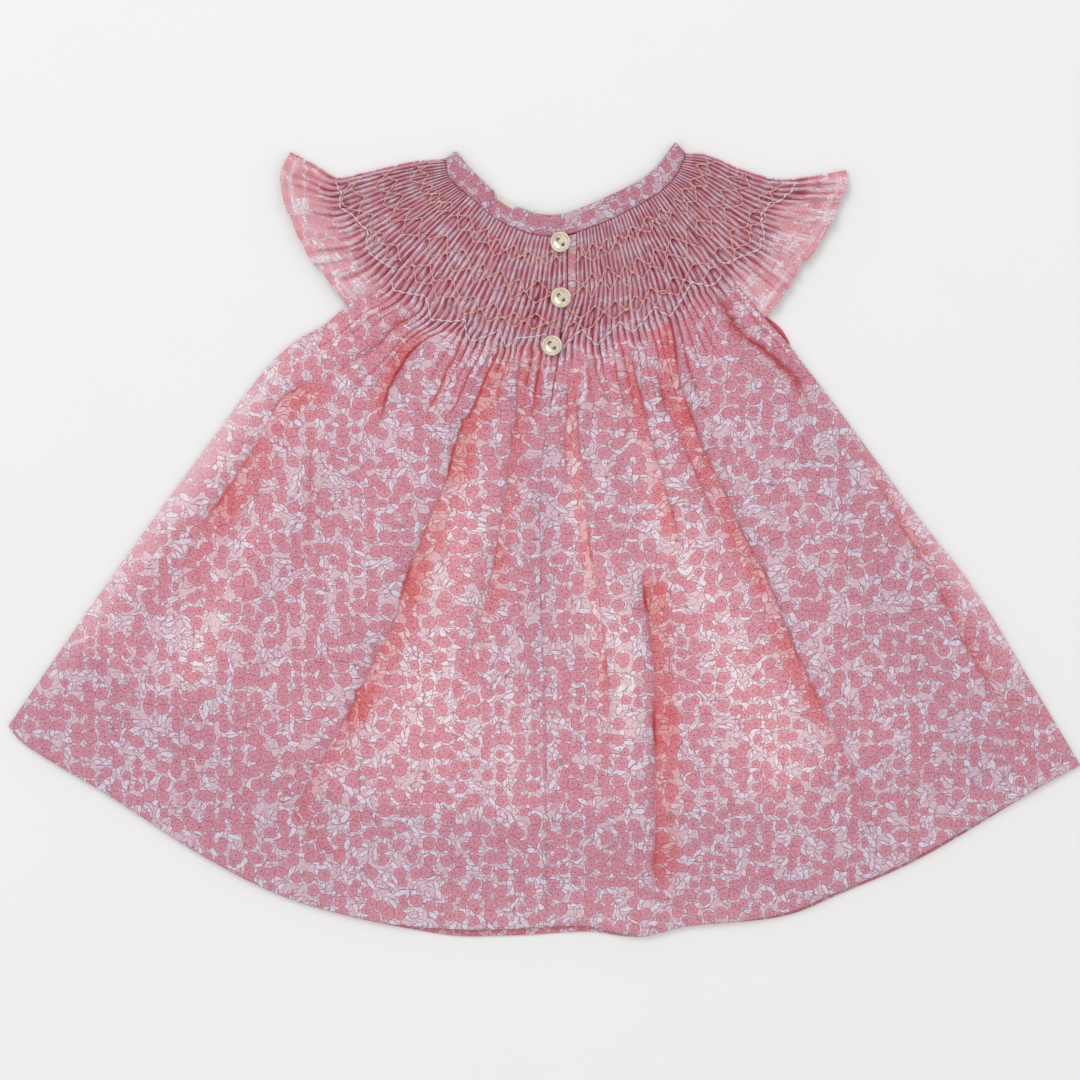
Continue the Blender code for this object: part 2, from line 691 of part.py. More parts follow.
def object_of(name, mesh, finish):
    """The finished object from a bmesh, with outward faces, smooth shading and its own material."""
    bmesh.ops.recalc_face_normals(mesh, faces=mesh.faces)
    data = bpy.data.meshes.new(name)
    mesh.to_mesh(data)
    mesh.free()
    data.shade_smooth()
    data.set_sharp_from_angle(angle=SHARP_ANGLE)
    data.materials.append(material_of(f"{name}_{finish}", finish))
    piece = bpy.data.objects.new(name, data)
    bpy.context.scene.collection.objects.link(piece)
    return piece


def material_of(name, finish):
    colour, roughness = FINISHES[finish]
    material = bpy.data.materials.new(name)
    material.use_nodes = True
    shader = material.node_tree.nodes["Principled BSDF"]
    shader.inputs["Base Color"].default_value = (*colour, 1.0)
    shader.inputs["Roughness"].default_value = roughness
    shader.inputs["Metallic"].default_value = 0.0
    return material


def plate(name, outline, low, high, finish):
    """A flat closed plate over an outline."""
    mesh = bmesh.new()
    under = [mesh.verts.new((x * MM, y * MM, low * MM)) for x, y in outline]
    over = [mesh.verts.new((x * MM, y * MM, high * MM)) for x, y in outline]
    mesh.faces.new(under[::-1])
    mesh.faces.new(over)
    for i, point in enumerate(under):
        j = (i + 1) % len(under)
        mesh.faces.new((point, under[j], over[j], over[i]))
    return object_of(name, mesh, finish)


def wall(name, outer, inner, finish, outer_marks=None, inner_marks=None):
    """One closed solid between two grids of points, [column][row], with its four rims stitched.

    Marks are a rising number for each column, by which the two rims find each other. Without them the columns
    are taken as evenly spread.
    """
    mesh = bmesh.new()
    grids = []
    for points in (outer, inner):
        verts = [[mesh.verts.new(tuple(point * MM)) for point in column] for column in points]
        for left, right in zip(verts, verts[1:]):
            for i in range(len(left) - 1):
                mesh.faces.new((left[i], right[i], right[i + 1], left[i + 1]))
        grids.append(verts)
    top, under = grids
    top_marks = np.linspace(0, 1, len(top)) if outer_marks is None else outer_marks
    under_marks = np.linspace(0, 1, len(under)) if inner_marks is None else inner_marks
    for row in (0, -1):
        over_rim = [column[row] for column in top]
        under_rim = [column[row] for column in under]
        stitch(mesh, over_rim, under_rim, top_marks, under_marks)
    row_marks = np.arange(len(top[0]))
    for column in (0, -1):
        stitch(mesh, top[column], under[column], row_marks, row_marks)
    return object_of(name, mesh, finish)


def stitch(mesh, one, other, one_marks, other_marks):
    """Triangles between two rims, which always step on the one that is behind."""
    i = 0
    j = 0
    while i < len(one) - 1 or j < len(other) - 1:
        step_one = j == len(other) - 1
        if i < len(one) - 1 and not step_one:
            step_one = one_marks[i + 1] <= other_marks[j + 1]
        if step_one:
            mesh.faces.new((one[i], one[i + 1], other[j]))
            i += 1
        else:
            mesh.faces.new((one[i], other[j + 1], other[j]))
            j += 1


def main():
    for piece in list(bpy.data.objects):
        bpy.data.objects.remove(piece)
    front_panel()
    back_panels()
    placket()
    sleeve("sleeve_left", LEFT_SLEEVE, LEFT_EDGE_STEPS)
    sleeve("sleeve_right", RIGHT_SLEEVE, RIGHT_EDGE_STEPS)
    neckbands()
    label()
    for name, centre in BUTTONS.items():
        button(name, centre)
    underarm_binding()


main()
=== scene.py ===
"""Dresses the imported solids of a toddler's smocked bishop dress: printed cotton, smocking, buttons and label.

Sizes are in millimetres and become metres as meshes are made. X runs across the dress, Y towards the neck and Z
up from the surface that it lies on. On the body patch "across" runs from the left side seam (0) to the right
one (1) and "down" from the neck seam (0) to the hem (1). On a sleeve patch "across" runs from the fold at the
shoulder (0) to the raglan seam (1) and "down" from the neck seam (0) to the sleeve's edge (1).
"""

import logging
import math
from dataclasses import dataclass, field
from enum import Enum, IntEnum
from typing import Callable, NamedTuple, Sequence

import bpy
import numpy as np
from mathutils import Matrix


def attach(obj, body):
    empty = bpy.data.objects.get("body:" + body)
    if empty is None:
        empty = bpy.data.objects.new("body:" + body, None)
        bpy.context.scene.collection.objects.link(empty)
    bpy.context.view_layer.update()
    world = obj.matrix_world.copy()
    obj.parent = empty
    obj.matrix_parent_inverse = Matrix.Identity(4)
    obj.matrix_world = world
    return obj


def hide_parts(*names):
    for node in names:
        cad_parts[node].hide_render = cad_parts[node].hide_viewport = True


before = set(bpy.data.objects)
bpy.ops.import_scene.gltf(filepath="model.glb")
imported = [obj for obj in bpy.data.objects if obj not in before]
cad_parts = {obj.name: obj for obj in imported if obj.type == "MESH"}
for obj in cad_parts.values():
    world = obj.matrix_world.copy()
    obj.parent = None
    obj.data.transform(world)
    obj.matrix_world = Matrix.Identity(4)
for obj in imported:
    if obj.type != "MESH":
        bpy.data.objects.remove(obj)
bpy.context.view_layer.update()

log = logging.getLogger("dress")

Array = np.ndarray
Colour = tuple[float, float, float]
Material = bpy.types.Material
Piece = bpy.types.Object
Socket = bpy.types.NodeSocket

MM = 0.001

# The cloth, and how the solids' layers lie on each other.
WALL = 1.2
GAP = 0.3
BACK_BASE = WALL + GAP
PLEAT_RISE = 1.7
SKIRT_RELIEF = 1.8
SKIRT_LOFT = 2.2
LAWN = 0.32
HEM_LAWN = 0.8

# The skirt's swelling, as in its solids.
SKIRT_PUFF = 0.34
SKIRT_EBB = 0.5
HEM_THINNING = 0.65
SIDE_SLOPE = 0.12
SIDE_THINNING = 0.05
SWELLS = 6.5
SWELL_DRIFT = 0.4
SWELL_SHARE = 0.18
YOKE_END = 0.163
UNDERARM = 0.24

# Pleats on each back panel and on a sleeve's upper half.
PANEL_PLEATS = 28
SLEEVE_PLEATS = 18
PLEAT_COLUMNS = 7

BODY_LENGTH = 386.0
WIDTH_SAMPLES = 33
NEWTON_STEPS = 14
NEWTON_REACH = 0.15
PROBE = 1e-4

# A full turn in radians, near enough where the phase is left to chance.
TURN = 6.283

# How far a fold pulls at the print, and how the front's print is turned over.
PULL_REACH = 26.0
MIRROR = np.array([-1.0, 1.0])


class Point(NamedTuple):
    """A place in the plane, in millimetres."""

    x: float
    y: float


def listed(kind: type, *rows: tuple[float, ...]) -> tuple:
    """A table of rows, all of one kind."""
    return tuple(kind(*row) for row in rows)


# The seam between the neckband and the smocking, from the left shoulder round to the right one.
NECK_SEAM = listed(Point,
    (-54, 209.5), (-51.5, 199), (-41, 189), (-22.5, 174.5), (4, 167), (29, 173.5), (60.5, 189.5), (72, 200.5),
    (77.5, 212.5),
)
NECK_TOP = listed(Point,
    (-48.5, 213.5), (-38.5, 201.7), (-17, 184.2), (6, 178.5), (34.5, 188.5), (58, 201.5), (72, 218.5),
)
RAGLAN_LEFT = 0.15
RAGLAN_RIGHT = 0.85
LEFT_RAGLAN = listed(Point, (-64, 167), (-79.5, 149.5), (-90, 138), (-108, 129))
RIGHT_RAGLAN = listed(Point, (89, 159), (105.5, 140.5), (121, 122))
LEFT_SIDE = listed(Point,
    (-123, 116.5), (-136, 109.5), (-153.5, 93), (-190, 44.5), (-230.5, -10.5), (-270, -67), (-294.5, -102.5),
)
RIGHT_SIDE = listed(Point, (135.5, 105.5), (181.5, 44.5), (204, 14), (236.5, -28), (270, -83), (294.5, -124))
HEM = listed(Point,
    (-294.5, -102.5), (-286.5, -112), (-239, -141), (-183.5, -176.5), (-134.5, -199.5), (-55.5, -217),
    (-15, -217.5), (24, -215.5), (52.5, -218.5), (77, -213), (131.5, -207), (162, -195), (207, -175),
    (273.5, -135.5), (294.5, -124),
)
LEFT_SHOULDER = listed(Point, (-71, 208), (-100.5, 201.5), (-113.5, 199), (-126, 206))
RIGHT_SHOULDER = listed(Point, (89.5, 211.5), (107.5, 204), (127, 198.5), (145.5, 199.5))
LEFT_SLEEVE_EDGE = listed(Point, (-139.5, 213), (-145, 199), (-139, 174), (-123.5, 146.5))
RIGHT_SLEEVE_EDGE = listed(Point, (166, 203), (166, 190.5), (156, 169), (142.5, 150), (131.5, 133))


class Step(NamedTuple):
    """Where a ruffle pleat overlaps the next one and the sleeve's edge steps in."""

    at: float
    depth: float
    reach: float


LEFT_EDGE_STEPS = listed(Step, (0.36, 1.2, 0.2), (0.52, 0.9, 0.1), (0.70, 2.2, 0.22), (0.84, 0.8, 0.1))
RIGHT_EDGE_STEPS = listed(Step,
    (0.12, 2.8, 0.12), (0.19, 2.4, 0.16), (0.34, 1.8, 0.10), (0.42, 1.5, 0.12), (0.58, 3.0, 0.16),
    (0.70, 2.2, 0.12), (0.79, 1.6, 0.16),
)


class Lift(NamedTuple):
    """How far the back's hem lies above the front's at a place across."""

    across: float
    height: float


HEM_LIFT_FROM = 0.6
HEM_LIFTS = listed(Lift,
    (0.0, 0.0), (0.36, 0.3), (0.44, 3.4), (0.52, 3.4), (0.60, 0.2), (0.65, 0.2), (0.74, 1.6), (0.88, 1.6),
    (0.96, 0.2), (1.0, 0.0),
)


class Opening(NamedTuple):
    """The lapped edge and the placket strip's far edge, at a place down the centre back."""

    down: float
    lap: float
    strip: float


OPENING = listed(Opening,
    (0.0, 0.519, 0.560), (0.08, 0.525, 0.556), (0.175, 0.499, 0.499), (0.35, 0.494, 0.494), (1.0, 0.508, 0.508),
)
OPENING_END = 0.175

# Where along the neck seam the bands end and lap, and how far down the lowest row's pleats are counted.
BAND_START = 0.0012
BAND_LAP = 0.535
BAND_END = 0.9988
STITCHED_DOWN = 0.165


class Wave(NamedTuple):
    """A turning point of the lowest row of smocking: across, and down the patch."""

    across: float
    down: float


BODY_LAST_ROW = listed(Wave,
    (-0.03, 0.160), (0.028, 0.178), (0.105, 0.158), (0.147, 0.183), (0.223, 0.158), (0.270, 0.184),
    (0.328, 0.154), (0.362, 0.177), (0.383, 0.160), (0.455, 0.152), (0.508, 0.175), (0.557, 0.149),
    (0.603, 0.178), (0.667, 0.152), (0.700, 0.172), (0.775, 0.149), (0.807, 0.172), (0.900, 0.142),
    (0.940, 0.160), (0.963, 0.162), (1.03, 0.142),
)
LEFT_SLEEVE_LAST_ROW = listed(Wave,
    (0.0, 0.69), (0.14, 0.63), (0.27, 0.66), (0.34, 0.62), (0.57, 0.59), (0.73, 0.68), (0.88, 0.66),
    (1.0, 0.64),
)
RIGHT_SLEEVE_LAST_ROW = listed(Wave,
    (0.0, 0.70), (0.19, 0.65), (0.24, 0.59), (0.38, 0.58), (0.56, 0.68), (0.66, 0.72), (0.80, 0.65),
    (1.0, 0.59),
)


class StitchRow(NamedTuple):
    """A zigzag row of smocking: its depth below the neck seam, half its height, and its period in pleats."""

    level: float
    height: float
    period: float
    start: float


TRELLIS_ROWS = listed(StitchRow,
    (11.6, 2.5, 4.0, 0.0), (16.2, 2.5, 4.0, 2.0), (29.6, 3.5, 4.0, 1.0), (36.2, 3.4, 4.0, 3.0),
    (48.0, 2.9, 4.0, 0.0), (53.6, 2.9, 4.0, 2.0),
)


class Chance(IntEnum):
    """What each series of uneven values decides about a pleat or the valley beside it."""

    PHASE = 0
    STATURE = 1
    LINGER = 2
    CREST = 3
    STREAK_RUN = 4
    STREAK_STRENGTH = 5
    FLECK = 6
    STIR = 7
    DARKNESS = 8
    STREAK_LENGTH = 9
    PRINT = 12
    CRIMP_PLACE = 14
    CRIMP_PHASE = 15


class Fold(Enum):
    """The side of a crease on which the cloth lies double, if any."""

    RIGHT = 1
    LEFT = -1
    TROUGH = 0


class Crease(NamedTuple):
    """A crease of the skirt, from the yoke down.

    Depth and width are the trough's, in millimetres. Strip is the width of the cloth that lies double beside
    it, red how strong the crease's painted shade and the painted glow of the layers below are, and hidden the
    cloth that the fold takes in.
    """

    fold: Fold
    depth: float
    width: float
    strip: float
    red: float
    hidden: float
    line: tuple[Point, ...]


CREASES = (
    Crease(Fold.TROUGH, 1.4, 3.6, 0.0, 0.62, 4.0, listed(Point,
        (-69, 125), (-80, 119), (-88, 110), (-100, 101), (-113, 93), (-123, 88),
    )),
    Crease(Fold.RIGHT, 1.1, 5.0, 10.0, 0.86, 5.0, listed(Point,
        (-129, 86), (-143, 79), (-156, 57), (-167, 38), (-180, 18), (-192, -2), (-204, -24),
    )),
    Crease(Fold.LEFT, 1.3, 4.0, 5.0, 0.90, 4.0, listed(Point,
        (-50, 120), (-64, 111), (-75, 101), (-82, 90), (-88, 74), (-92, 55),
    )),
    Crease(Fold.RIGHT, 0.9, 3.0, 2.5, 0.50, 3.0, listed(Point,
        (-46, 109), (-50, 99), (-57, 84), (-62, 75), (-66, 61),
    )),
    Crease(Fold.RIGHT, 1.5, 6.0, 9.0, 1.12, 9.0, listed(Point,
        (-27, 100), (-35, 81), (-44, 65), (-53, 34), (-59, 21), (-76, -20), (-85, -46), (-99, -78),
        (-110, -100), (-124, -122), (-137, -147), (-144, -166),
    )),
    Crease(Fold.RIGHT, 1.5, 5.0, 6.5, 0.68, 9.0, listed(Point,
        (-13, 101), (-15, 68), (-20, 31), (-29, -20), (-37, -49), (-52, -87),
    )),
    Crease(Fold.RIGHT, 1.1, 3.5, 2.5, 0.80, 4.0, listed(Point, (-2, 99), (-7, 62))),
    Crease(Fold.RIGHT, 1.2, 4.0, 5.0, 0.70, 5.0, listed(Point, (14, 90), (11, 56), (12, 36))),
    Crease(Fold.LEFT, 0.9, 4.0, 4.5, 0.55, 5.0, listed(Point,
        (17, 77), (21, 40), (26, -11), (33, -53), (36, -103), (33, -135),
    )),
    Crease(Fold.TROUGH, 1.0, 3.0, 0.0, 0.25, 2.0, listed(Point, (28, 94), (37, 71))),
    Crease(Fold.LEFT, 1.2, 4.0, 3.0, 0.65, 4.0, listed(Point, (39, 97), (47, 56))),
    Crease(Fold.LEFT, 1.4, 5.0, 6.0, 0.80, 6.0, listed(Point,
        (48, 100), (53, 79), (57, 61), (64, 39), (70, 17), (77, -10),
    )),
    Crease(Fold.RIGHT, 1.2, 4.0, 4.5, 0.80, 5.0, listed(Point,
        (62, 90), (66, 73), (74, 59), (79, 46), (86, 31), (97, 7),
    )),
    Crease(Fold.LEFT, 1.6, 6.0, 7.5, 1.00, 9.0, listed(Point,
        (69, 120), (72, 103), (75, 84), (86, 51), (94, 36), (108, 5), (122, -20), (140, -67), (157, -101),
        (176, -139),
    )),
    Crease(Fold.TROUGH, 1.6, 6.0, 0.0, 1.00, 4.0, listed(Point,
        (94, 134), (104, 118), (111, 110), (121, 104), (137, 89), (147, 71),
    )),
    Crease(Fold.RIGHT, 1.2, 6.0, 4.0, 0.86, 6.0, listed(Point,
        (172, 50), (185, 27), (203, -4), (219, -34), (232, -61), (242, -77), (256, -103), (271, -132),
    )),
    Crease(Fold.RIGHT, 1.4, 5.0, 10.5, 1.20, 6.0, listed(Point,
        (54, -25), (58, -50), (60, -71), (60, -99), (61, -138), (60, -187), (57, -205),
    )),
    Crease(Fold.RIGHT, 0.6, 5.0, 2.5, 0.42, 0.0, listed(Point,
        (-130, 66), (-128, 40), (-129, 5), (-134, -34),
    )),
    Crease(Fold.TROUGH, 0.5, 3.0, 0.0, 0.20, 0.0, listed(Point, (-65, -103), (-66, -138))),
    Crease(Fold.TROUGH, 0.6, 10.0, 0.0, 0.12, 0.0, listed(Point, (-190, 20), (-225, -60))),
)


class Glow(NamedTuple):
    """A soft patch of painted light or shade on the cloth: its centre, half sizes, lean in degrees and
    strength.
    """

    x: float
    y: float
    half_length: float
    half_width: float
    lean: float
    strength: float


# Painted light on the cloth: painted glow where light comes through single cloth, painted shade where the cloth
# looks dim and cool, painted highlights where its folded edges catch light, and deeper painted shade in the
# valleys where the smocking is drawn together under the buttons.
GLOWS = listed(Glow,
    (-174, 62, 66, 15, 37, 1.00), (-236, -24, 62, 9, 36, 0.75), (-165, -12, 68, 10, 29, 0.55),
    (-186, -62, 26, 15, 30, 0.70), (-49, -10, 50, 14, 14, 0.95), (-66, -92, 42, 26, 14, 0.90),
    (-20, -112, 32, 18, 0, 0.55), (18, 24, 48, 5, -6, 0.60), (42, -72, 46, 13, -6, 1.00),
    (27, -14, 30, 5, -6, 0.60), (72, 8, 46, 13, -20, 0.75), (108, -72, 56, 22, -24, 0.90),
    (128, -118, 26, 18, -20, 0.55), (-118, 108, 34, 7, 52, 0.35), (228, -8, 66, 10, -35, 0.90),
    (286, -104, 20, 8, -36, 0.50), (0, -206, 13, 190, 0, 0.35), (150, 4, 34, 12, -30, 0.30),
)
DIMS = listed(Glow,
    (196, -44, 116, 34, -31, 0.85), (150, 60, 50, 26, -40, 0.45), (225, -128, 34, 46, -30, 0.60),
    (-188, -112, 34, 56, 32, 0.65), (-56, 30, 60, 12, 14, 0.25), (-1, 10, 110, 9, 2, 0.75),
    (43, 8, 62, 9, -6, 0.40), (118, 22, 60, 14, -28, 0.30), (-150, -20, 80, 18, 28, 0.30),
    (113, 103, 18, 8, -40, 0.55),
)
RIMS = listed(Glow, (-190, 42, 74, 8, 37, 0.90), (-250, -44, 46, 7, 36, 0.40), (222, -8, 92, 7, -36, 0.60))
PULLS = listed(Glow, (-4, 131, 13, 5, 22, 1.0), (24, 118, 10, 6, -10, 0.5), (70, 150, 20, 9, -35, 0.35))


def ramp(low: float | Array, high: float | Array, value: float | Array) -> Array:
    """0 below low, 1 above high, and a smooth rise between."""
    share = np.clip((np.asarray(value, float) - low) / (high - low), 0.0, 1.0)
    return share * share * (3.0 - 2.0 * share)


def between(slope: float, share: Array) -> Array:
    """0 at both ends of a run from 0 to 1, and 1 between the slopes there."""
    return ramp(0.0, slope, share) * ramp(1.0, 1.0 - slope, share)


def bell(widths: Array) -> Array:
    """1 at the middle, and next to nothing two widths away from it."""
    return np.exp(-(widths**2))


def crowded(count: int) -> Array:
    """Places from 0 to 1 that crowd at both ends."""
    return 0.5 - 0.5 * np.cos(math.pi * np.linspace(0.0, 1.0, count + 1))


def heading(places: Array) -> Array:
    """Which way a line or the rows of a grid run, as a vector of length 1 at each point."""
    steps = np.gradient(places, axis=0)
    return steps / np.maximum(np.linalg.norm(steps, axis=-1), 1e-9)[..., None]


def rounded(distance: Array, radius: float) -> Array:
    """How high an edge rounded to a quarter of a circle stands, 0 to 1, at a distance from it."""
    share = np.clip(distance / radius, 0.0, 1.0)
    return np.sqrt(np.maximum(1.0 - (1.0 - share) ** 2, 0.0))


def scatter(number: Array | float, seed: float) -> Array:
    """A fixed, uneven value from 0 to 1 for each whole number, in the series of this seed."""
    turn = np.sin(np.asarray(number, float) * 12.9898 + seed * 78.233) * 43758.5453
    return turn - np.floor(turn)


def read_table(value: Array, table: Sequence[Sequence[float]], column: int = 1) -> Array:
    """What a column says at each value, with a smooth run from each row of a table to the next.

    Args:
        value: Where the table is read.
        table: The rows, whose first column rises.
        column: The column that is read.

    Returns:
        The numbers read.
    """
    rows = np.array(table)
    at, high = rows[:, 0], rows[:, column]
    row = np.clip(np.searchsorted(at, value, side="right") - 1, 0, len(at) - 2)
    share = ramp(0.0, 1.0, (value - at[row]) / (at[row + 1] - at[row]))
    return high[row] + share * (high[row + 1] - high[row])


class Curve:
    """A smooth curve through points in the plane, read by a share of its length from 0 to 1."""

    def __init__(self, points: Sequence[Sequence[float]]) -> None:
        """Finds the curve's knots and tangents.

        Args:
            points: The points that it passes.
        """
        self.points = np.array(points, float)
        spans = np.linalg.norm(np.diff(self.points, axis=0), axis=1)
        self.knots = np.concatenate([[0.0], np.cumsum(spans)])
        self.tangents = np.empty_like(self.points)
        reach = (self.knots[2:] - self.knots[:-2])[:, None]
        self.tangents[1:-1] = (self.points[2:] - self.points[:-2]) / reach
        self.tangents[0] = (self.points[1] - self.points[0]) / spans[0]
        self.tangents[-1] = (self.points[-1] - self.points[-2]) / spans[-1]

    @property
    def length(self) -> float:
        """The length of the curve's chords, in millimetres."""
        return float(self.knots[-1])

    def __call__(self, share: Array | float) -> Array:
        """The points at these shares of the length."""
        place = np.asarray(share, float) * self.length
        left = np.clip(np.searchsorted(self.knots, place, side="right") - 1, 0, len(self.knots) - 2)
        span = (self.knots[left + 1] - self.knots[left])[..., None]
        f = (place - self.knots[left])[..., None] / span
        return (
            (1 + 2 * f) * (1 - f) ** 2 * self.points[left]
            + f * (1 - f) ** 2 * span * self.tangents[left]
            + f * f * (3 - 2 * f) * self.points[left + 1]
            + f * f * (f - 1) * span * self.tangents[left + 1]
        )


@dataclass
class Stretch:
    """Part of a curve, read from 0 to 1. A start past its end runs the curve backwards."""

    curve: Curve
    start: float
    end: float

    def __call__(self, share: Array | float) -> Array:
        """The points at these shares of the stretch."""
        return self.curve(self.start + (self.end - self.start) * np.asarray(share, float))


@dataclass
class Joined:
    """Two curves end to end, which meet at a share of the whole."""

    first: Curve
    second: Curve
    meeting: float

    @property
    def length(self) -> float:
        """The length of both, in millimetres."""
        return self.first.length + self.second.length

    def __call__(self, share: Array | float) -> Array:
        """The points at these shares of the whole."""
        share = np.asarray(share, float)
        early = self.first(np.clip(share / self.meeting, 0.0, 1.0))
        late = self.second(np.clip((share - self.meeting) / (1 - self.meeting), 0.0, 1.0))
        return np.where((share < self.meeting)[..., None], early, late)


Line = Callable[[Array | float], Array]


@dataclass
class Patch:
    """The plane surface inside four curves: neck and hem run across, left and right run down."""

    neck: Line
    hem: Line
    left: Line
    right: Line

    def __call__(self, across: Array | float, down: Array | float) -> Array:
        """The points at these places across and down."""
        across, down = np.broadcast_arrays(np.asarray(across, float), np.asarray(down, float))
        s = across[..., None]
        t = down[..., None]
        ruled = (1 - t) * self.neck(across) + t * self.hem(across)
        ruled = ruled + (1 - s) * self.left(down) + s * self.right(down)
        corners = (1 - s) * ((1 - t) * self.neck(0.0) + t * self.hem(0.0))
        corners = corners + s * ((1 - t) * self.neck(1.0) + t * self.hem(1.0))
        return ruled - corners

    def width(self, down: Array) -> Array:
        """The length of the patch across, at each place down it."""
        line = self(np.linspace(0.0, 1.0, WIDTH_SAMPLES)[:, None], np.asarray(down, float)[None, :])
        return np.linalg.norm(np.diff(line, axis=0), axis=2).sum(axis=0)

    def locate(self, point: Point) -> tuple[float, float]:
        """(across, down) of a place in the plane, by steps of Newton's method.

        Args:
            point: The place, in millimetres.

        Returns:
            Its place across and down the patch.
        """
        place = np.array([0.5, 0.4])
        for _ in range(NEWTON_STEPS):
            here = self(place[0], place[1])
            by_across = (self(place[0] + PROBE, place[1]) - here) / PROBE
            by_down = (self(place[0], place[1] + PROBE) - here) / PROBE
            step = np.linalg.solve(np.stack([by_across, by_down], axis=1), np.array(point) - here)
            place = np.clip(place + np.clip(step, -NEWTON_REACH, NEWTON_REACH), 0.0, 1.0)
        return float(place[0]), float(place[1])


NECK = Curve(NECK_SEAM)
NECK_EDGE = Curve(NECK_TOP)
LEFT_SEAM = Joined(
    Curve([NECK(RAGLAN_LEFT), *LEFT_RAGLAN]), Curve([LEFT_RAGLAN[-1], *LEFT_SIDE]), UNDERARM
)
RIGHT_SEAM = Joined(
    Curve([NECK(RAGLAN_RIGHT), *RIGHT_RAGLAN]), Curve([RIGHT_RAGLAN[-1], *RIGHT_SIDE]), UNDERARM
)
BODY = Patch(Stretch(NECK, RAGLAN_LEFT, RAGLAN_RIGHT), Curve(HEM), LEFT_SEAM, RIGHT_SEAM)


def sleeve_patch(neck: Stretch, shoulder: Sequence[Point], edge: Sequence[Point], raglan: Curve) -> Patch:
    """A sleeve's upper half: the shoulder fold is its left side and the raglan seam its right side.

    Args:
        neck: The stretch of the neck seam, from the raglan seam to the shoulder.
        shoulder: The points of the shoulder fold.
        edge: The points of the free edge, from the tip to the underarm.
        raglan: The raglan seam.

    Returns:
        The patch.
    """
    fold = Curve([neck(1.0), *shoulder, edge[0]])
    hem = Curve([*edge, raglan(1.0)])
    return Patch(Stretch(NECK, neck.end, neck.start), hem, fold, raglan)


LEFT_SLEEVE = sleeve_patch(Stretch(NECK, RAGLAN_LEFT, 0.0), LEFT_SHOULDER, LEFT_SLEEVE_EDGE, LEFT_SEAM.first)
RIGHT_SLEEVE = sleeve_patch(
    Stretch(NECK, RAGLAN_RIGHT, 1.0), RIGHT_SHOULDER, RIGHT_SLEEVE_EDGE, RIGHT_SEAM.first
)


def body_loft(across: Array, down: Array) -> Array:
    """How far the back of the skirt stands off the front below it, in millimetres."""
    rise = ramp(YOKE_END, SKIRT_PUFF, down) * (1 - HEM_THINNING * ramp(SKIRT_EBB, 1.0, down))
    swell = 1 - SWELL_SHARE * (1 - np.cos(2 * math.pi * (SWELLS * across + SWELL_DRIFT * down)))
    return SKIRT_LOFT * rise * between(SIDE_SLOPE, across) * swell


def hem_lift(across: Array) -> Array:
    """How far the back's hem lies above the front's, in millimetres."""
    return read_table(across, HEM_LIFTS)


def lap_edge(down: Array) -> Array:
    """Where the left back panel ends, across the body, at each place down it."""
    return read_table(down, OPENING, 1)


def strip_edge(down: Array) -> Array:
    """Where the placket strip ends and the right back panel starts."""
    return read_table(down, OPENING, 2)


def no_strip(depth: float) -> float:
    """A panel whose first pleat lies at its edge at any depth, with no strip before it."""
    return 0.0


def strip_in_pleats(depth: float) -> float:
    """How many of the right panel's pleats the placket strip is wide, at a depth below the neck seam."""
    down = depth / BODY_LENGTH
    if down > OPENING_END:
        return 0.0
    strip = strip_edge(down)
    return float((strip - lap_edge(down)) / (1 - strip)) * PANEL_PLEATS


def last_row(table: Sequence[Wave], across: Array) -> Array:
    """How far down the lowest row of smocking lies, at each place across."""
    return np.interp(across, *np.transpose(table))


def zigzag(row: StitchRow, number: Array, seed: float) -> tuple[Array, Array]:
    """How a row of stitches runs over the pleats.

    Args:
        row: The row.
        number: The places across, in pleats.
        seed: Which of many uneven series.

    Returns:
        The phase of the zigzag, whole at its upper points, and its level in millimetres below the neck seam.
    """
    drift = 0.55 * np.sin(number * 0.31 + row.level + seed) + 0.22 * np.sin(number * 0.83 + 2.0 * row.level)
    phase = (number + row.start + drift) / row.period
    level = row.level + 0.9 * np.sin(number * 0.23 + row.level * 1.7 + seed) + 0.5 * np.sin(number * 0.9 + seed)
    return phase, level


def tip_height(row: StitchRow, turn: Array, seed: float) -> Array:
    """How far from its level the row's tip of this number reaches, in millimetres."""
    return row.height * (0.72 + 0.50 * scatter(turn, seed + row.level))


def patches_at(place: Array, patches: Sequence[Glow]) -> Array:
    """The sum of soft patches at places in the plane, 0 to 1."""
    total = np.zeros(place.shape[:-1])
    for glow in patches:
        lean = math.radians(glow.lean)
        x = place[..., 0] - glow.x
        y = place[..., 1] - glow.y
        along = (-math.sin(lean) * x - math.cos(lean) * y) / glow.half_length
        aside = (math.cos(lean) * x - math.sin(lean) * y) / glow.half_width
        total += glow.strength * np.exp(-(along**2) - aside**2)
    return np.clip(total, 0.0, 1.0)


# Meshes.


# The marks that the cloth's material reads: painted highlight on crests and folded edges, painted shade in
# valleys, gaps, seams, creases and streaks, painted glow of light through the cloth, and, in the last, the
# double cloth's darker tone with painted cool shade.
MARKS = ("crest", "valley", "crease", "strip", "glow", "doubled")


def marked(**given: Array | float) -> dict[str, Array | float]:
    """A sheet's marks, with those that aren't given at 0."""
    return {mark: given.get(mark, 0.0) for mark in MARKS}


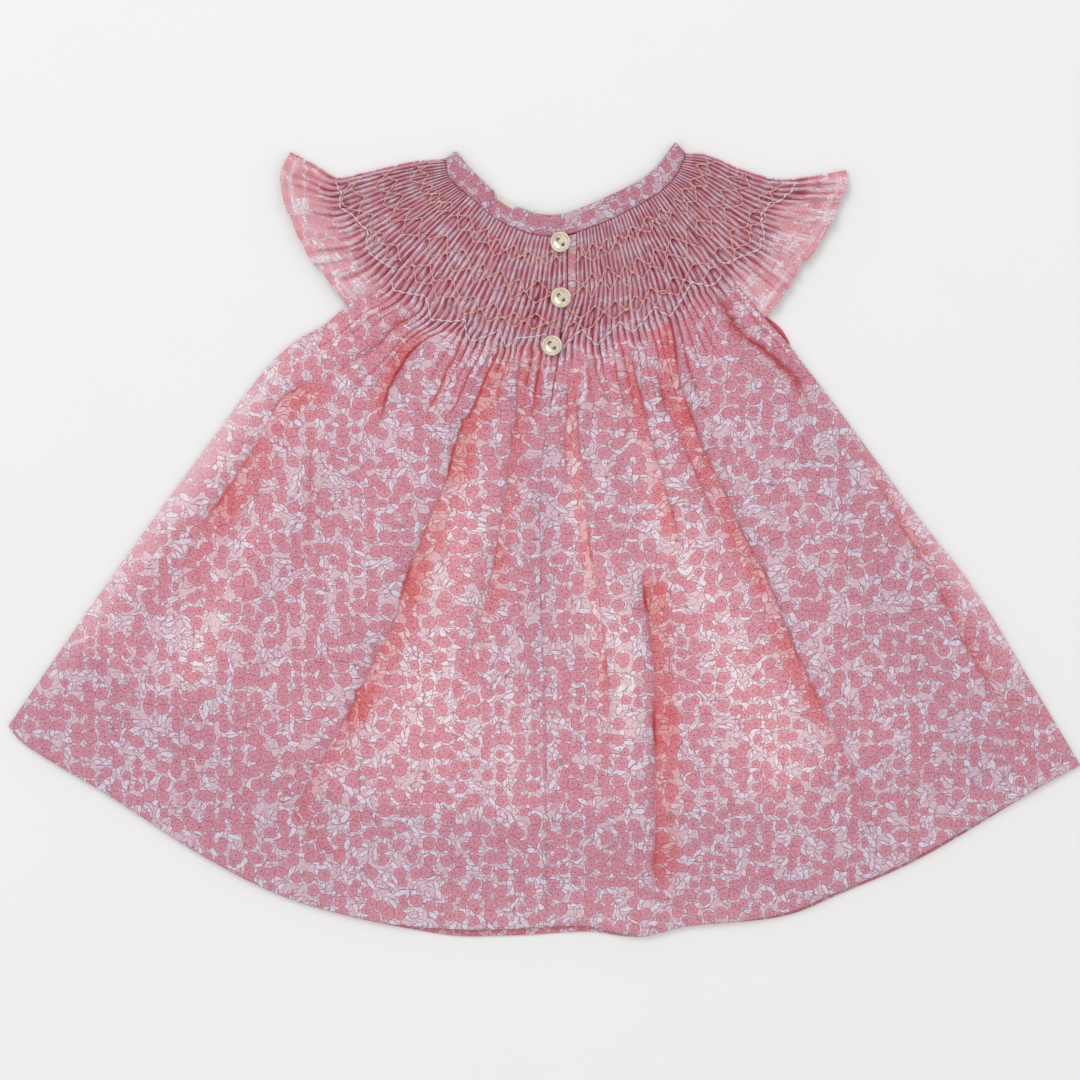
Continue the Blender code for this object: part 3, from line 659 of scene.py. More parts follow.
@dataclass
class Sheet:
    """A closed thin shell of cloth between two grids of points, [column][row], in millimetres.

    Marks are values from 0 to 1 at each point, which the cloth's material reads: most are painted highlights,
    shade and glow.
    """

    outer: Array
    inner: Array
    printed: Array
    marks: dict[str, Array | float] = field(default_factory=dict)

    def faces(self) -> Array:
        """The quads of both faces and of the rim that joins them."""
        columns, rows = self.outer.shape[:2]
        count = columns * rows
        index = np.arange(count).reshape(columns, rows)
        corners = (index[:-1, :-1], index[:-1, 1:], index[1:, 1:], index[1:, :-1])
        over = np.stack(corners, axis=-1).reshape(-1, 4)
        ring = np.concatenate([index[0, :], index[1:, -1], index[-1, -2::-1], index[-2:0:-1, 0]])
        onward = np.roll(ring, -1)
        rim = np.stack([onward, ring, ring + count, onward + count], axis=-1)
        return np.concatenate([over, over[:, ::-1] + count, rim])

    def build(self, name: str, material: Material) -> Piece:
        """The shell as an object, with its print map and marks.

        Args:
            name: The piece's name.
            material: Its cloth.

        Returns:
            The finished object, which lies at the origin with its place in its mesh.
        """
        points = np.concatenate([self.outer.reshape(-1, 3), self.inner.reshape(-1, 3)]) * MM
        piece = solid_from(name, points, self.faces(), material)
        give_print_map(piece, np.concatenate([self.printed.reshape(-1, 2)] * 2))
        for mark, values in self.marks.items():
            flat = np.broadcast_to(values, self.outer.shape[:2]).ravel()
            attribute = piece.data.attributes.new(mark, "FLOAT", "POINT")
            attribute.data.foreach_set("value", np.concatenate([flat, flat]).astype(np.float32))
        return piece

    def sample(self, column: Array, row: Array) -> Array:
        """Points on the outer face at broken column and row numbers, by straight lines between its own."""
        columns, rows = self.outer.shape[:2]
        column = np.clip(column, 0, columns - 1.001)
        row = np.clip(row, 0, rows - 1.001)
        i = column.astype(int)
        j = row.astype(int)
        f = (column - i)[..., None]
        g = (row - j)[..., None]
        near = self.outer[i, j] * (1 - f) + self.outer[i + 1, j] * f
        far = self.outer[i, j + 1] * (1 - f) + self.outer[i + 1, j + 1] * f
        return near * (1 - g) + far * g


def solid_from(name: str, points: Array, faces: Array, material: Material) -> Piece:
    """A closed mesh object whose faces point outwards.

    Args:
        name: The piece's name.
        points: Its points in metres.
        faces: Its quads, which all agree in direction.
        material: Its finish.

    Returns:
        The object, linked to the scene.
    """
    corners = points[faces]
    fan = np.cross(corners[:, 1] - corners[:, 0], corners[:, 2] - corners[:, 0])
    fan += np.cross(corners[:, 2] - corners[:, 0], corners[:, 3] - corners[:, 0])
    if np.einsum("ij,ij->", fan, corners.mean(axis=1)) < 0:
        faces = faces[:, ::-1]
    data = bpy.data.meshes.new(name)
    data.vertices.add(len(points))
    data.vertices.foreach_set("co", points.astype(np.float32).ravel())
    data.loops.add(faces.size)
    data.loops.foreach_set("vertex_index", faces.astype(np.int32).ravel())
    data.polygons.add(len(faces))
    data.polygons.foreach_set("loop_start", np.arange(0, faces.size, 4, dtype=np.int32))
    data.update(calc_edges=True)
    data.shade_smooth()
    data.materials.append(material)
    piece = bpy.data.objects.new(name, data)
    bpy.context.scene.collection.objects.link(piece)
    return piece


def give_print_map(piece: Piece, printed: Array) -> None:
    """Gives a mesh its print map, from one place on the cloth for each point.

    Args:
        piece: The object.
        printed: The places, in millimetres.
    """
    corners = np.empty(len(piece.data.loops), np.int32)
    piece.data.loops.foreach_get("vertex_index", corners)
    layer = piece.data.uv_layers.new(name="print")
    layer.data.foreach_set("uv", printed[corners].astype(np.float32).ravel())


def shell_under(outer: Array, thickness: Array | float, floor: float) -> Array:
    """The inner face of a sheet that lies more or less flat: the outer one, lowered by its thickness.

    Args:
        outer: The outer face's points.
        thickness: The cloth's thickness in millimetres.
        floor: The lowest that the inner face may lie.

    Returns:
        The inner face's points.
    """
    slope = np.zeros(outer.shape[:2])
    for axis in (0, 1):
        step = np.gradient(outer, axis=axis)
        run = np.maximum(np.linalg.norm(step[..., :2], axis=2), 1e-3)
        slope += (step[..., 2] / run) ** 2
    drop = thickness * np.minimum(np.sqrt(1 + slope), 1.9)
    inner = outer.copy()
    inner[..., 2] = np.minimum(np.maximum(outer[..., 2] - drop, floor), outer[..., 2] - 0.1)
    return inner


def tubes(
    name: str, paths: Sequence[Array], sizes: Sequence[float | Array], sides: int, material: Material
) -> Piece:
    """One mesh of round threads along several paths.

    Args:
        name: The piece's name.
        paths: The points of each thread, in millimetres. None stands upright.
        sizes: Each thread's radius in millimetres, or one for each of its points.
        sides: The sides of its section.
        material: Its finish.

    Returns:
        The object.
    """
    points, faces, printed = [], [], []
    start = 0
    angles = np.linspace(0, 2 * math.pi, sides, endpoint=False)
    for path, radius in zip(paths, sizes):
        along = heading(path)
        side = np.cross(along, (0.0, 0.0, 1.0))
        side /= np.linalg.norm(side, axis=1)[:, None]
        up = np.cross(side, along)
        size = np.broadcast_to(radius, len(path)).copy()
        size[[0, -1]] *= 0.35
        ring = np.cos(angles)[None, :, None] * side[:, None] + np.sin(angles)[None, :, None] * up[:, None]
        points.append((path[:, None] + ring * size[:, None, None]).reshape(-1, 3))
        run = np.concatenate([[0.0], np.cumsum(np.linalg.norm(np.diff(path, axis=0), axis=1))])
        grid = np.stack(np.broadcast_arrays(run[:, None], (angles / (2 * math.pi))[None, :]), axis=-1)
        printed.append(grid.reshape(-1, 2))
        index = start + np.arange(len(path) * sides).reshape(len(path), sides)
        onward = np.roll(index, -1, axis=1)
        quads = np.stack([index[:-1], onward[:-1], onward[1:], index[1:]], axis=-1)
        faces.append(quads.reshape(-1, 4))
        for end, turned in ((index[0], True), (index[-1], False)):
            a, b, c, d, e, f = end[:6]
            caps = np.array([[a, b, c, d], [a, d, e, f]])
            faces.append(caps[:, ::-1] if turned else caps)
        start += len(path) * sides
    piece = solid_from(name, np.concatenate(points) * MM, np.concatenate(faces), material)
    give_print_map(piece, np.concatenate(printed))
    return piece


# Finishes.


def shade(red: int, green: int, blue: int) -> Colour:
    """A colour as the shader takes it, from its place on a paint card of 0 to 255."""

    def linear(value: int) -> float:
        share = value / 255
        return share / 12.92 if share <= 0.04045 else ((share + 0.055) / 1.055) ** 2.4

    return (linear(red), linear(green), linear(blue))


def arithmetic(operation: str, swapped: bool = False) -> Callable[..., "Value"]:
    """A method that works out one Math node from a value and what it meets, or the other way round."""

    def method(value: "Value", *other: "Value | float") -> "Value":
        """The node's result."""
        operands = (*other, value) if swapped else (value, *other)
        return value.shader.math(operation, *operands)

    return method


@dataclass
class Value:
    """A number that varies over a surface: a node's output, with Python's arithmetic on it."""

    shader: "Shader"
    socket: Socket

    __add__ = arithmetic("ADD")
    __radd__ = arithmetic("ADD", swapped=True)
    __sub__ = arithmetic("SUBTRACT")
    __rsub__ = arithmetic("SUBTRACT", swapped=True)
    __mul__ = arithmetic("MULTIPLY")
    __rmul__ = arithmetic("MULTIPLY", swapped=True)
    __truediv__ = arithmetic("DIVIDE")
    __pow__ = arithmetic("POWER")
    __abs__ = arithmetic("ABSOLUTE")


Number = Value | float
Feed = Value | Socket | float | Colour


class Shader:
    """One material's nodes, round a Principled surface."""

    def __init__(self, name: str) -> None:
        """Starts the material.

        Args:
            name: The material's name.
        """
        self.material = bpy.data.materials.new(name)
        self.material.use_nodes = True
        self.nodes = self.material.node_tree.nodes
        self.links = self.material.node_tree.links
        self.surface = self.nodes["Principled BSDF"]

    def feed(self, socket: Socket, value: Feed) -> None:
        """Sets a socket, or links a node's output to it."""
        if isinstance(value, Value):
            self.links.new(value.socket, socket)
        elif isinstance(value, Socket):
            self.links.new(value, socket)
        elif socket.type == "RGBA":
            socket.default_value = (*value, 1.0)
        else:
            socket.default_value = value

    def node(self, kind: str, settings: dict[str, object], inputs: dict[str | int, Feed]) -> bpy.types.Node:
        """Adds a node.

        Args:
            kind: The node's type.
            settings: Its properties, which are set first.
            inputs: What its sockets take, by name or number.

        Returns:
            The node.
        """
        made = self.nodes.new(kind)
        for name, setting in settings.items():
            setattr(made, name, setting)
        for name, value in inputs.items():
            self.feed(made.inputs[name], value)
        return made

    def result(
        self, kind: str, settings: dict[str, object], inputs: dict[str | int, Feed], output: str | int = 0
    ) -> Value:
        """One output of a new node, as a number for expressions."""
        return Value(self, self.node(kind, settings, inputs).outputs[output])

    def math(self, operation: str, *values: Number) -> Value:
        """The result of one Math node."""
        return self.result("ShaderNodeMath", {"operation": operation}, dict(enumerate(values)))

    def vector(self, operation: str, first: Feed, second: Feed) -> Socket:
        """The result of one Vector Math node."""
        return self.node("ShaderNodeVectorMath", {"operation": operation}, {0: first, 1: second}).outputs[0]

    def split(self, socket: Socket) -> tuple[Value, Value, Value]:
        """The three parts of a vector or colour."""
        parts = self.node("ShaderNodeSeparateXYZ", {}, {0: socket}).outputs
        return Value(self, parts[0]), Value(self, parts[1]), Value(self, parts[2])

    def over(self, value: Number, softness: float) -> Value:
        """1 where a value is above zero, with a soft edge as wide as softness."""
        settings = {"operation": "MULTIPLY_ADD", "use_clamp": True}
        return self.result("ShaderNodeMath", settings, {0: value, 1: 1 / softness, 2: 0.5})

    def either(self, first: Number, second: Number) -> Value:
        """The greater of two values."""
        return self.math("MAXIMUM", first, second)

    def join(self, x: Feed, y: Feed, z: Feed = 0.0) -> Socket:
        """A vector or colour of three parts."""
        return self.node("ShaderNodeCombineXYZ", {}, {0: x, 1: y, 2: z}).outputs[0]

    def weave(self, u: Value, v: Value, pitch: float) -> Value:
        """How high the threads of a plain weave stand, -1 to 1, when they lie this far apart."""
        turn = 2 * math.pi / pitch
        return self.math("SINE", u * turn) * self.math("SINE", v * turn)

    def mix(self, factor: Number, first: Feed, second: Feed, blend: str = "MIX") -> Socket:
        """One colour over another by a factor."""
        settings = {"data_type": "RGBA", "blend_type": blend, "clamp_factor": True}
        return self.node("ShaderNodeMix", settings, {0: factor, 6: first, 7: second}).outputs[2]

    def noise(self, place: Feed, size: float, detail: float = 2.0) -> Value:
        """Smooth noise from about 0.2 to 0.8, with features of this size."""
        inputs = {"Vector": place, "Scale": 1 / size, "Detail": detail}
        return self.result("ShaderNodeTexNoise", {"noise_dimensions": "3D"}, inputs)

    def print_map(self) -> Socket:
        """The place on the flat cloth, in millimetres."""
        return self.node("ShaderNodeUVMap", {"uv_map": "print"}, {}).outputs[0]

    def object_place(self) -> Socket:
        """The place on the object, in metres."""
        return self.node("ShaderNodeTexCoord", {}, {}).outputs["Object"]

    def mark(self, name: str) -> Value:
        """One of the values that a sheet carries at its points."""
        return self.result("ShaderNodeAttribute", {"attribute_name": name}, {}, "Fac")

    def raise_surface(self, height: Value, distance: float, strength: float) -> None:
        """Feeds a height to the surface's normals, where a height of 1 stands up by this distance in metres."""
        bump = self.node("ShaderNodeBump", {}, {"Height": height, "Distance": distance, "Strength": strength})
        self.links.new(bump.outputs[0], self.surface.inputs["Normal"])

    def finish(self, colour: Feed, roughness: Feed, constants: dict[str, float]) -> Material:
        """Feeds the surface and gives the material.

        Args:
            colour: The base colour.
            roughness: The roughness.
            constants: The other sockets that are set, by name.

        Returns:
            The material.
        """
        self.feed(self.surface.inputs["Base Color"], colour)
        self.feed(self.surface.inputs["Roughness"], roughness)
        for name, setting in constants.items():
            self.surface.inputs[name].default_value = setting
        return self.material


@dataclass(frozen=True)
class Blossoms:
    """One size of blossom in the print, in millimetres."""

    spacing: float
    radius: float
    share: float
    offset: tuple[float, float, float]


@dataclass(frozen=True)
class Leaves:
    """One layer of outlined leaves in the print, in millimetres."""

    spacing: float
    half_length: float
    half_width: float
    share: float
    offset: tuple[float, float, float]


@dataclass(frozen=True)
class PrintedCotton:
    """Cotton lawn with a small scattered print of round blossoms among outlined leaves."""

    ground: Colour = shade(220, 190, 201)
    leaf: Colour = shade(229, 216, 229)
    leaf_line: Colour = shade(172, 100, 126)
    rose: Colour = shade(206, 131, 149)
    petal: Colour = shade(219, 155, 169)
    outline: Colour = shade(172, 86, 108)
    eye: Colour = shade(142, 62, 86)
    # Tints that the sheet's marks lay over the print: crest is a painted highlight, valley and crease are
    # painted shade, strip and glow are painted glow of light through the cloth, and the last one gives cloth
    # that lies double its darker tone and carries painted cool shade.
    crest: Colour = shade(236, 214, 226)
    valley: Colour = (0.42, 0.05, 0.10)
    crease: Colour = (0.72, 0.24, 0.24)
    strip: Colour = (1.04, 0.62, 0.55)
    glow: Colour = (1.18, 1.23, 1.13)
    doubled: Colour = (0.87, 0.905, 0.93)
    lightness: float = 0.922
    drift: float = 19.0
    slub: float = 0.55
    fading: float = 42.0
    crumple: float = 11.0
    weave_pitch: float = 0.34
    large: Blossoms = Blossoms(8.1, 3.62, 0.69, (0.0, 0.0, 0.0))
    small: Blossoms = Blossoms(6.6, 2.75, 0.43, (31.7, 12.9, 0.0))
    leaves: tuple[Leaves, ...] = (
        Leaves(6.4, 3.3, 1.15, 0.76, (19.9, 63.7, 0.0)),
        Leaves(7.6, 4.0, 1.50, 0.80, (77.1, 9.4, 0.0)),
        Leaves(8.4, 4.5, 1.60, 0.84, (5.3, 41.2, 0.0)),
    )

    def cell(
        self, shader: Shader, place: Socket, motif: Blossoms | Leaves, evenness: float
    ) -> tuple[Value, Value, tuple[Value, Value, Value], Socket, Value]:
        """The nearest motif of a kind.

        Args:
            shader: The material's nodes.
            place: The place on the cloth.
            motif: The kind of motif.
            evenness: How far the motifs stray from even rows, 0 to 1.

        Returns:
            The place seen from its centre, its own three numbers, its centre, and how far off the next one is.
        """
        moved = shader.vector("ADD", place, motif.offset)
        inputs = {"Vector": moved, "Scale": 1 / motif.spacing, "Randomness": evenness}
        nearest, next_one = (
            shader.node("ShaderNodeTexVoronoi", {"voronoi_dimensions": "2D", "feature": feature}, inputs)
            for feature in ("F1", "F2")
        )
        centre = nearest.outputs["Position"]
        x, y, _ = shader.split(shader.vector("SUBTRACT", moved, centre))
        apart = Value(shader, next_one.outputs["Distance"]) - Value(shader, nearest.outputs["Distance"])
        return x, y, shader.split(nearest.outputs["Color"]), centre, apart * (motif.spacing / 2)

    def blossoms(
        self, shader: Shader, place: Socket, size: Blossoms
    ) -> tuple[Value, Value, Value, Value]:
        """Scalloped round blossoms that stand in loose clusters.

        Args:
            shader: The material's nodes.
            place: The place on the cloth.
            size: Which blossoms.

        Returns:
            Where they are, where their lines are, where their dots are, and how near the middle of a petal.
        """
        x, y, (first, second, third), centre, apart = self.cell(shader, place, size, 0.66)
        cluster = shader.noise(centre, self.drift, 1.0)
        present = shader.over((cluster - 0.5) * 0.9 + (size.share - first), 0.01)
        radius = (0.86 + 0.16 * second) * size.radius
        distance = shader.math("SQRT", x * x + y * y)
        angle = shader.math("ARCTAN2", y, x)
        scallop = abs(shader.math("COSINE", angle * 4.0 + third * 6.283))
        petal = abs(shader.math("COSINE", angle * 2.5 + third * 9.4))
        edge = radius * (0.84 + 0.05 * scallop + 0.14 * petal**0.7)
        inside = shader.math("MINIMUM", edge - distance, apart)
        fill = shader.over(inside, 0.2) * present
        outline = shader.over(0.32 - inside, 0.22)
        vein = shader.over(0.12 - petal * distance * 0.4, 0.12) * shader.over(distance - radius * 0.40, 0.2)
        line = shader.either(outline, vein * 0.5)
        ring = shader.over(0.26 - abs(distance - radius * 0.44), 0.2) * shader.over(petal - 0.84, 0.14)
        eye = shader.over(0.46 - distance, 0.32)
        scattered = shader.over(shader.noise(place, 1.9, 0.0) - 0.47, 0.06)
        dots = shader.either(eye, ring * scattered * 0.85)
        return fill, fill * line, fill * dots, petal

    def leaf_layer(self, shader: Shader, place: Socket, size: Leaves) -> tuple[Value, Value]:
        """Pointed leaves that lie every way, drawn with a thin line and a rib."""
        x, y, (first, second, third), centre, _ = self.cell(shader, place, size, 0.9)
        present = shader.over(size.share - third, 0.01)
        turn = (shader.noise(centre, 17.0, 0.0) * 2.6 + first * 0.25) * 6.283
        cosine, sine = shader.math("COSINE", turn), shader.math("SINE", turn)
        u = x * cosine + y * sine
        v = y * cosine - x * sine
        inside = (1 - (u / size.half_length) ** 2) * (0.75 + 0.4 * second) * size.half_width - abs(v)
        rib = shader.over(0.07 - abs(v), 0.1) * shader.over(inside, 0.1) * shader.over(0.6 - u, 0.2)
        line = shader.either(shader.over(0.24 - abs(inside), 0.2), rib * 0.6)
        return shader.over(inside, 0.16) * present, line * present

    def pattern(self, shader: Shader, place: Socket) -> Socket:
        """The whole print, from the ground up."""
        colour: Feed = self.ground
        for layer in self.leaves:
            fill, line = self.leaf_layer(shader, place, layer)
            colour = shader.mix(fill * 0.92, colour, self.leaf)
            colour = shader.mix(line * 0.70, colour, self.leaf_line)
        for size, width in ((8.0, 0.018), (5.2, 0.022), (3.4, 0.022)):
            stem = shader.over(width - abs(shader.noise(place, size, 0.0) - 0.5), 0.016)
            broken = shader.over(shader.noise(place, 0.7 * size, 0.0) - 0.45, 0.05)
            colour = shader.mix(stem * broken * 0.66, colour, self.leaf_line)
        for size in (self.small, self.large):
            fill, line, dots, petal = self.blossoms(shader, place, size)
            mottle = shader.over(shader.noise(place, 1.3, 1.0) - 0.5, 0.3)
            body = shader.mix(petal * 0.45 + mottle * 0.5, self.rose, self.petal)
            colour = shader.mix(fill * 0.94, colour, body)
            colour = shader.mix(line * 0.78, colour, self.outline)
            colour = shader.mix(dots * 0.78, colour, self.eye)
        return colour

    def material(self, name: str) -> Material:
        """The cloth, whose print is tinted by the painted highlights, shade and glow that its sheet's marks
        carry, and by the darker tone of cloth that lies double.
        """
        shader = Shader(name)
        place = shader.print_map()
        drawn = shader.noise(place, 3.1, 1.0)
        colour = self.pattern(shader, shader.vector("ADD", place, shader.join(drawn * 0.8, 0.40 - drawn * 0.8)))
        # Lays the marks' painted glow, shade and highlights, and the double cloth's darker tone, over the
        # print.
        for mark in ("glow", "strip", "doubled", "crease", "crest", "valley"):
            blend = "MIX" if mark == "crest" else "MULTIPLY"
            colour = shader.mix(shader.mark(mark), colour, getattr(self, mark), blend)
        thread = shader.noise(place, self.slub, 2.0)
        light = self.lightness + 0.12 * thread + 0.10 * shader.noise(place, self.fading, 2.0)
        colour = shader.mix(1.0, colour, shader.join(light, light, light), "MULTIPLY")
        u, v, _ = shader.split(place)
        weave = shader.weave(u, v, self.weave_pitch)
        height = weave * 0.20 + thread * 0.5 + shader.noise(place, self.crumple, 3.0) * 3.0
        shader.raise_surface(height, 0.00016, 0.55)
        return shader.finish(colour, 0.80 + 0.12 * thread, {"Sheen Weight": 0.12, "Specular IOR Level": 0.25})


@dataclass(frozen=True)
class StitchThread:
    """Stranded embroidery cotton, with the strands' twist."""

    colour: Colour
    twist_shade_and_fuzz: Colour
    twist_pitch: float = 1.1

    def material(self, name: str) -> Material:
        """The thread."""
        shader = Shader(name)
        run, turn, _ = shader.split(shader.print_map())
        wave = shader.math("SINE", run * (2 * math.pi / self.twist_pitch) + turn * (4 * math.pi))
        fuzz = shader.noise(shader.object_place(), 0.0006, 2.0)
        # Painted shade in the grooves of the twist, mixed with random fuzz.
        shadow = shader.over(-0.25 - wave, 0.9)
        colour = shader.mix(shadow * 0.55 + fuzz * 0.25, self.colour, self.twist_shade_and_fuzz)
        shader.raise_surface(wave * 0.5 + fuzz * 0.4, 0.00012, 0.7)
        return shader.finish(colour, 0.62 + 0.2 * fuzz, {"Sheen Weight": 0.1, "Specular IOR Level": 0.35})


@dataclass(frozen=True)
class Pearl:
    """Polished mother-of-pearl, in faint cloudy bands."""

    body: Colour = shade(216, 204, 178)
    cloud: Colour = shade(236, 228, 206)
    deep: Colour = shade(186, 170, 136)
    # Painted shade in the groove round the dish, and its radius.
    ring: Colour = shade(132, 116, 84)
    ring_radius: float = 4.35

    def material(self, name: str) -> Material:
        """The shell."""
        shader = Shader(name)
        place = shader.object_place()
        cloudy = shader.noise(place, 0.006, 3.0)
        banding = shader.result(
            "ShaderNodeTexWave",
            {"wave_type": "BANDS", "bands_direction": "DIAGONAL"},
            {"Vector": place, "Scale": 150.0, "Distortion": 5.0, "Detail": 2.0},
            "Fac",
        )
        colour = shader.mix(shader.over(cloudy - 0.5, 0.35), self.body, self.cloud)
        colour = shader.mix(banding * 0.30, colour, self.deep)
        from_middle, _, _ = shader.split(shader.print_map())
        # Painted shade in the groove between the rim and the dish.
        groove = shader.over(0.22 - abs(from_middle - self.ring_radius), 0.25)
        colour = shader.mix(groove * 0.25, colour, self.ring)
        shader.raise_surface(banding, 0.00004, 0.2)
        polish = {"Coat Weight": 1.0, "Coat Roughness": 0.05, "Specular IOR Level": 0.6}
        return shader.finish(colour, 0.10 + 0.10 * cloudy, polish)


@dataclass(frozen=True)
class PlainCotton:
    """Plain woven cotton tape or binding."""

    colour: Colour
    shadow: Colour
    weave_pitch: float = 0.4

    def material(self, name: str) -> Material:
        """The tape."""
        shader = Shader(name)
        place = shader.object_place()
        x, y, _ = shader.split(place)
        weave = shader.weave(x, y, self.weave_pitch * MM)
        worn = shader.noise(place, 0.003, 3.0)
        colour = shader.mix(shader.over(worn - 0.52, 0.4) * 0.6, self.colour, self.shadow)
        shader.raise_surface(weave * 0.4 + worn, 0.0001, 0.5)
        return shader.finish(colour, 0.78 + 0.1 * worn, {"Sheen Weight": 0.15, "Specular IOR Level": 0.3})


@dataclass(frozen=True)
class StudioPaper:
    """The pale matt paper that the dress lies on."""

    colour: Colour = shade(246, 246, 246)
    fleck: Colour = shade(245, 245, 245)

    def material(self, name: str) -> Material:
        """The paper."""
        shader = Shader(name)
        grain = shader.noise(shader.object_place(), 0.05, 2.0)
        colour = shader.mix(grain, self.colour, self.fleck)
        return shader.finish(colour, 0.95, {"Specular IOR Level": 0.0})


# Smocked cloth.


@dataclass(frozen=True)
class Pleating:
    """Pleats that rows of smocking hold together, in millimetres.

    Neighbouring pleats pinch together in pairs at one row of stitches and in other pairs at the next.
    """

    pleats: int
    rise: float = PLEAT_RISE
    roundness: float = 0.85
    pinch: float = 0.15
    cell: float = 9.4
    sway: float = 0.09
    unevenness: float = 0.42
    gathered: float = 7.5
    offset: float = 7.0
    gap_width: float = 0.40
    gap_length: float = 5.5
    tuck: float = 2.6
    tuck_height: float = 2.25
    # How the painted highlights and shade vary along the pleats, and where they lie across them.
    fleck_length: float = 2.9
    fleck_drift: float = 5.3
    stir_length: float = 4.1
    crimp_length: float = 3.7
    light_place: float = 0.34
    light_width: float = 0.12
    crimp_width: float = 0.085
    crimp_strength: float = 0.80
    seed: float = 1.0

    def chance(self, number: Array, series: Chance) -> Array:
        """A fixed, uneven value from 0 to 1 for each pleat or valley of this number."""
        return scatter(number, self.seed + series)

    def ridge(self, number: Array, depth: Array, loose: Array | float = 0.0) -> Array:
        """The height of the pleats, 0 in a valley to 1.

        Args:
            number: The place across in pleats.
            depth: How far below the neck seam, in millimetres.
            loose: How far the smocking has let go, 0 to 1. Loose pleats run straight.

        Returns:
            The heights.
        """
        swap = np.cos(math.pi * depth / self.cell) * (1 - loose)
        sway = self.sway * np.sin(2.3 * number + depth / 7.0 + self.seed) * np.sin(1.1 * number) * (1 - loose)
        moved = number + self.pinch * np.sin(math.pi * number) * swap + sway
        return np.abs(np.sin(math.pi * moved)) ** self.roundness

    def shading(self, number: Array, depth: Array, ridge: Array, gaps: Array) -> tuple[Array, Array]:
        """How much painted highlight each pleat's crest takes and how much painted shade lies in the gap beside
        it, 0 to 1.

        Args:
            number: The place across in pleats.
            depth: How far below the neck seam, in millimetres.
            ridge: The height of the pleats.
            gaps: How far the pleats stand apart.

        Returns:
            The crests' painted highlight and the gaps' painted shade.
        """
        pleat, valley = np.floor(number), np.round(number)
        within = number - pleat
        # The crest's painted highlight, which comes and goes in patches along each pleat.
        fleck = np.sin(depth / self.fleck_length + TURN * self.chance(pleat, Chance.FLECK))
        fleck = 0.5 + 0.5 * fleck * np.sin(depth / self.fleck_drift + pleat)
        crest = bell((within - self.light_place) / self.light_width)
        crest = crest * (0.40 + 0.66 * self.chance(pleat, Chance.CREST)) * (0.30 + 0.76 * fleck)
        # Painted shade in the valleys, varying from one to the next and along each.
        low = 1 - ridge
        stir = 0.5 + 0.5 * np.sin(depth / self.stir_length + TURN * self.chance(valley, Chance.STIR))
        dark = 0.66 + 0.27 * self.chance(valley, Chance.DARKNESS) + 0.24 * stir
        dark = (0.84 * low**1.7 + 0.16 * low) * dark
        # Some pleats carry a thin line of painted shade along a second fold on their shoulder, and the gaps
        # between pinched pleats take painted shade too.
        turn = np.sin(depth / self.crimp_length + TURN * self.chance(pleat, Chance.CRIMP_PHASE))
        side = 0.66 + 0.14 * self.chance(pleat, Chance.CRIMP_PLACE)
        crimp = self.crimp_strength * bell((within - side) / self.crimp_width) * ramp(-0.5, 0.3, turn)
        return np.minimum(crest, 1.0), np.maximum(np.maximum(dark, crimp), gaps)

    def tucked(self, height: Array, depth: Array) -> Array:
        """The cloth's height, brought down under the neckband at the neck seam."""
        return self.tuck_height + (height - self.tuck_height) * ramp(-0.3, self.tuck, depth)

    def gaps(self, number: Array, depth: Array) -> Array:
        """How far the pleats stand apart below a zigzag's upper points and above its lower ones, 0 to 1."""
        total = np.zeros_like(number)
        for row in TRELLIS_ROWS:
            phase, level = zigzag(row, number, self.seed)
            for turn, side, strength in ((0.0, 1.0, 1.0), (0.5, -1.0, 0.6)):
                tip = np.round(phase - turn)
                aside = (phase - turn - tip) * row.period
                below = (depth - level) * side + tip_height(row, tip + turn, self.seed)
                along = ramp(0.2, 1.3, below) * ramp(self.gap_length, 1.6, below)
                narrow = self.gap_width * (1.15 - 0.12 * np.clip(below, 0, 5))
                total = np.maximum(total, strength * along * bell(aside / narrow))
        return total

    def stature(self, number: Array, depth: Array) -> Array:
        """How tall each pleat stands, which varies from one to the next and along it."""
        pleat = np.floor(number)
        sway = 0.5 + 0.5 * np.sin(depth / 6.0 + TURN * self.chance(pleat, Chance.PHASE))
        return 1 - self.unevenness * (0.5 * self.chance(pleat, Chance.STATURE) + 0.5 * sway)

    def taken_in(self, number: Array) -> Array:
        """How far the cloth's print is shifted by the cloth that the pleats take in."""
        pleat = np.floor(number)
        return (number - pleat - 0.5) * self.gathered + (self.chance(pleat, Chance.PRINT) - 0.5) * self.offset


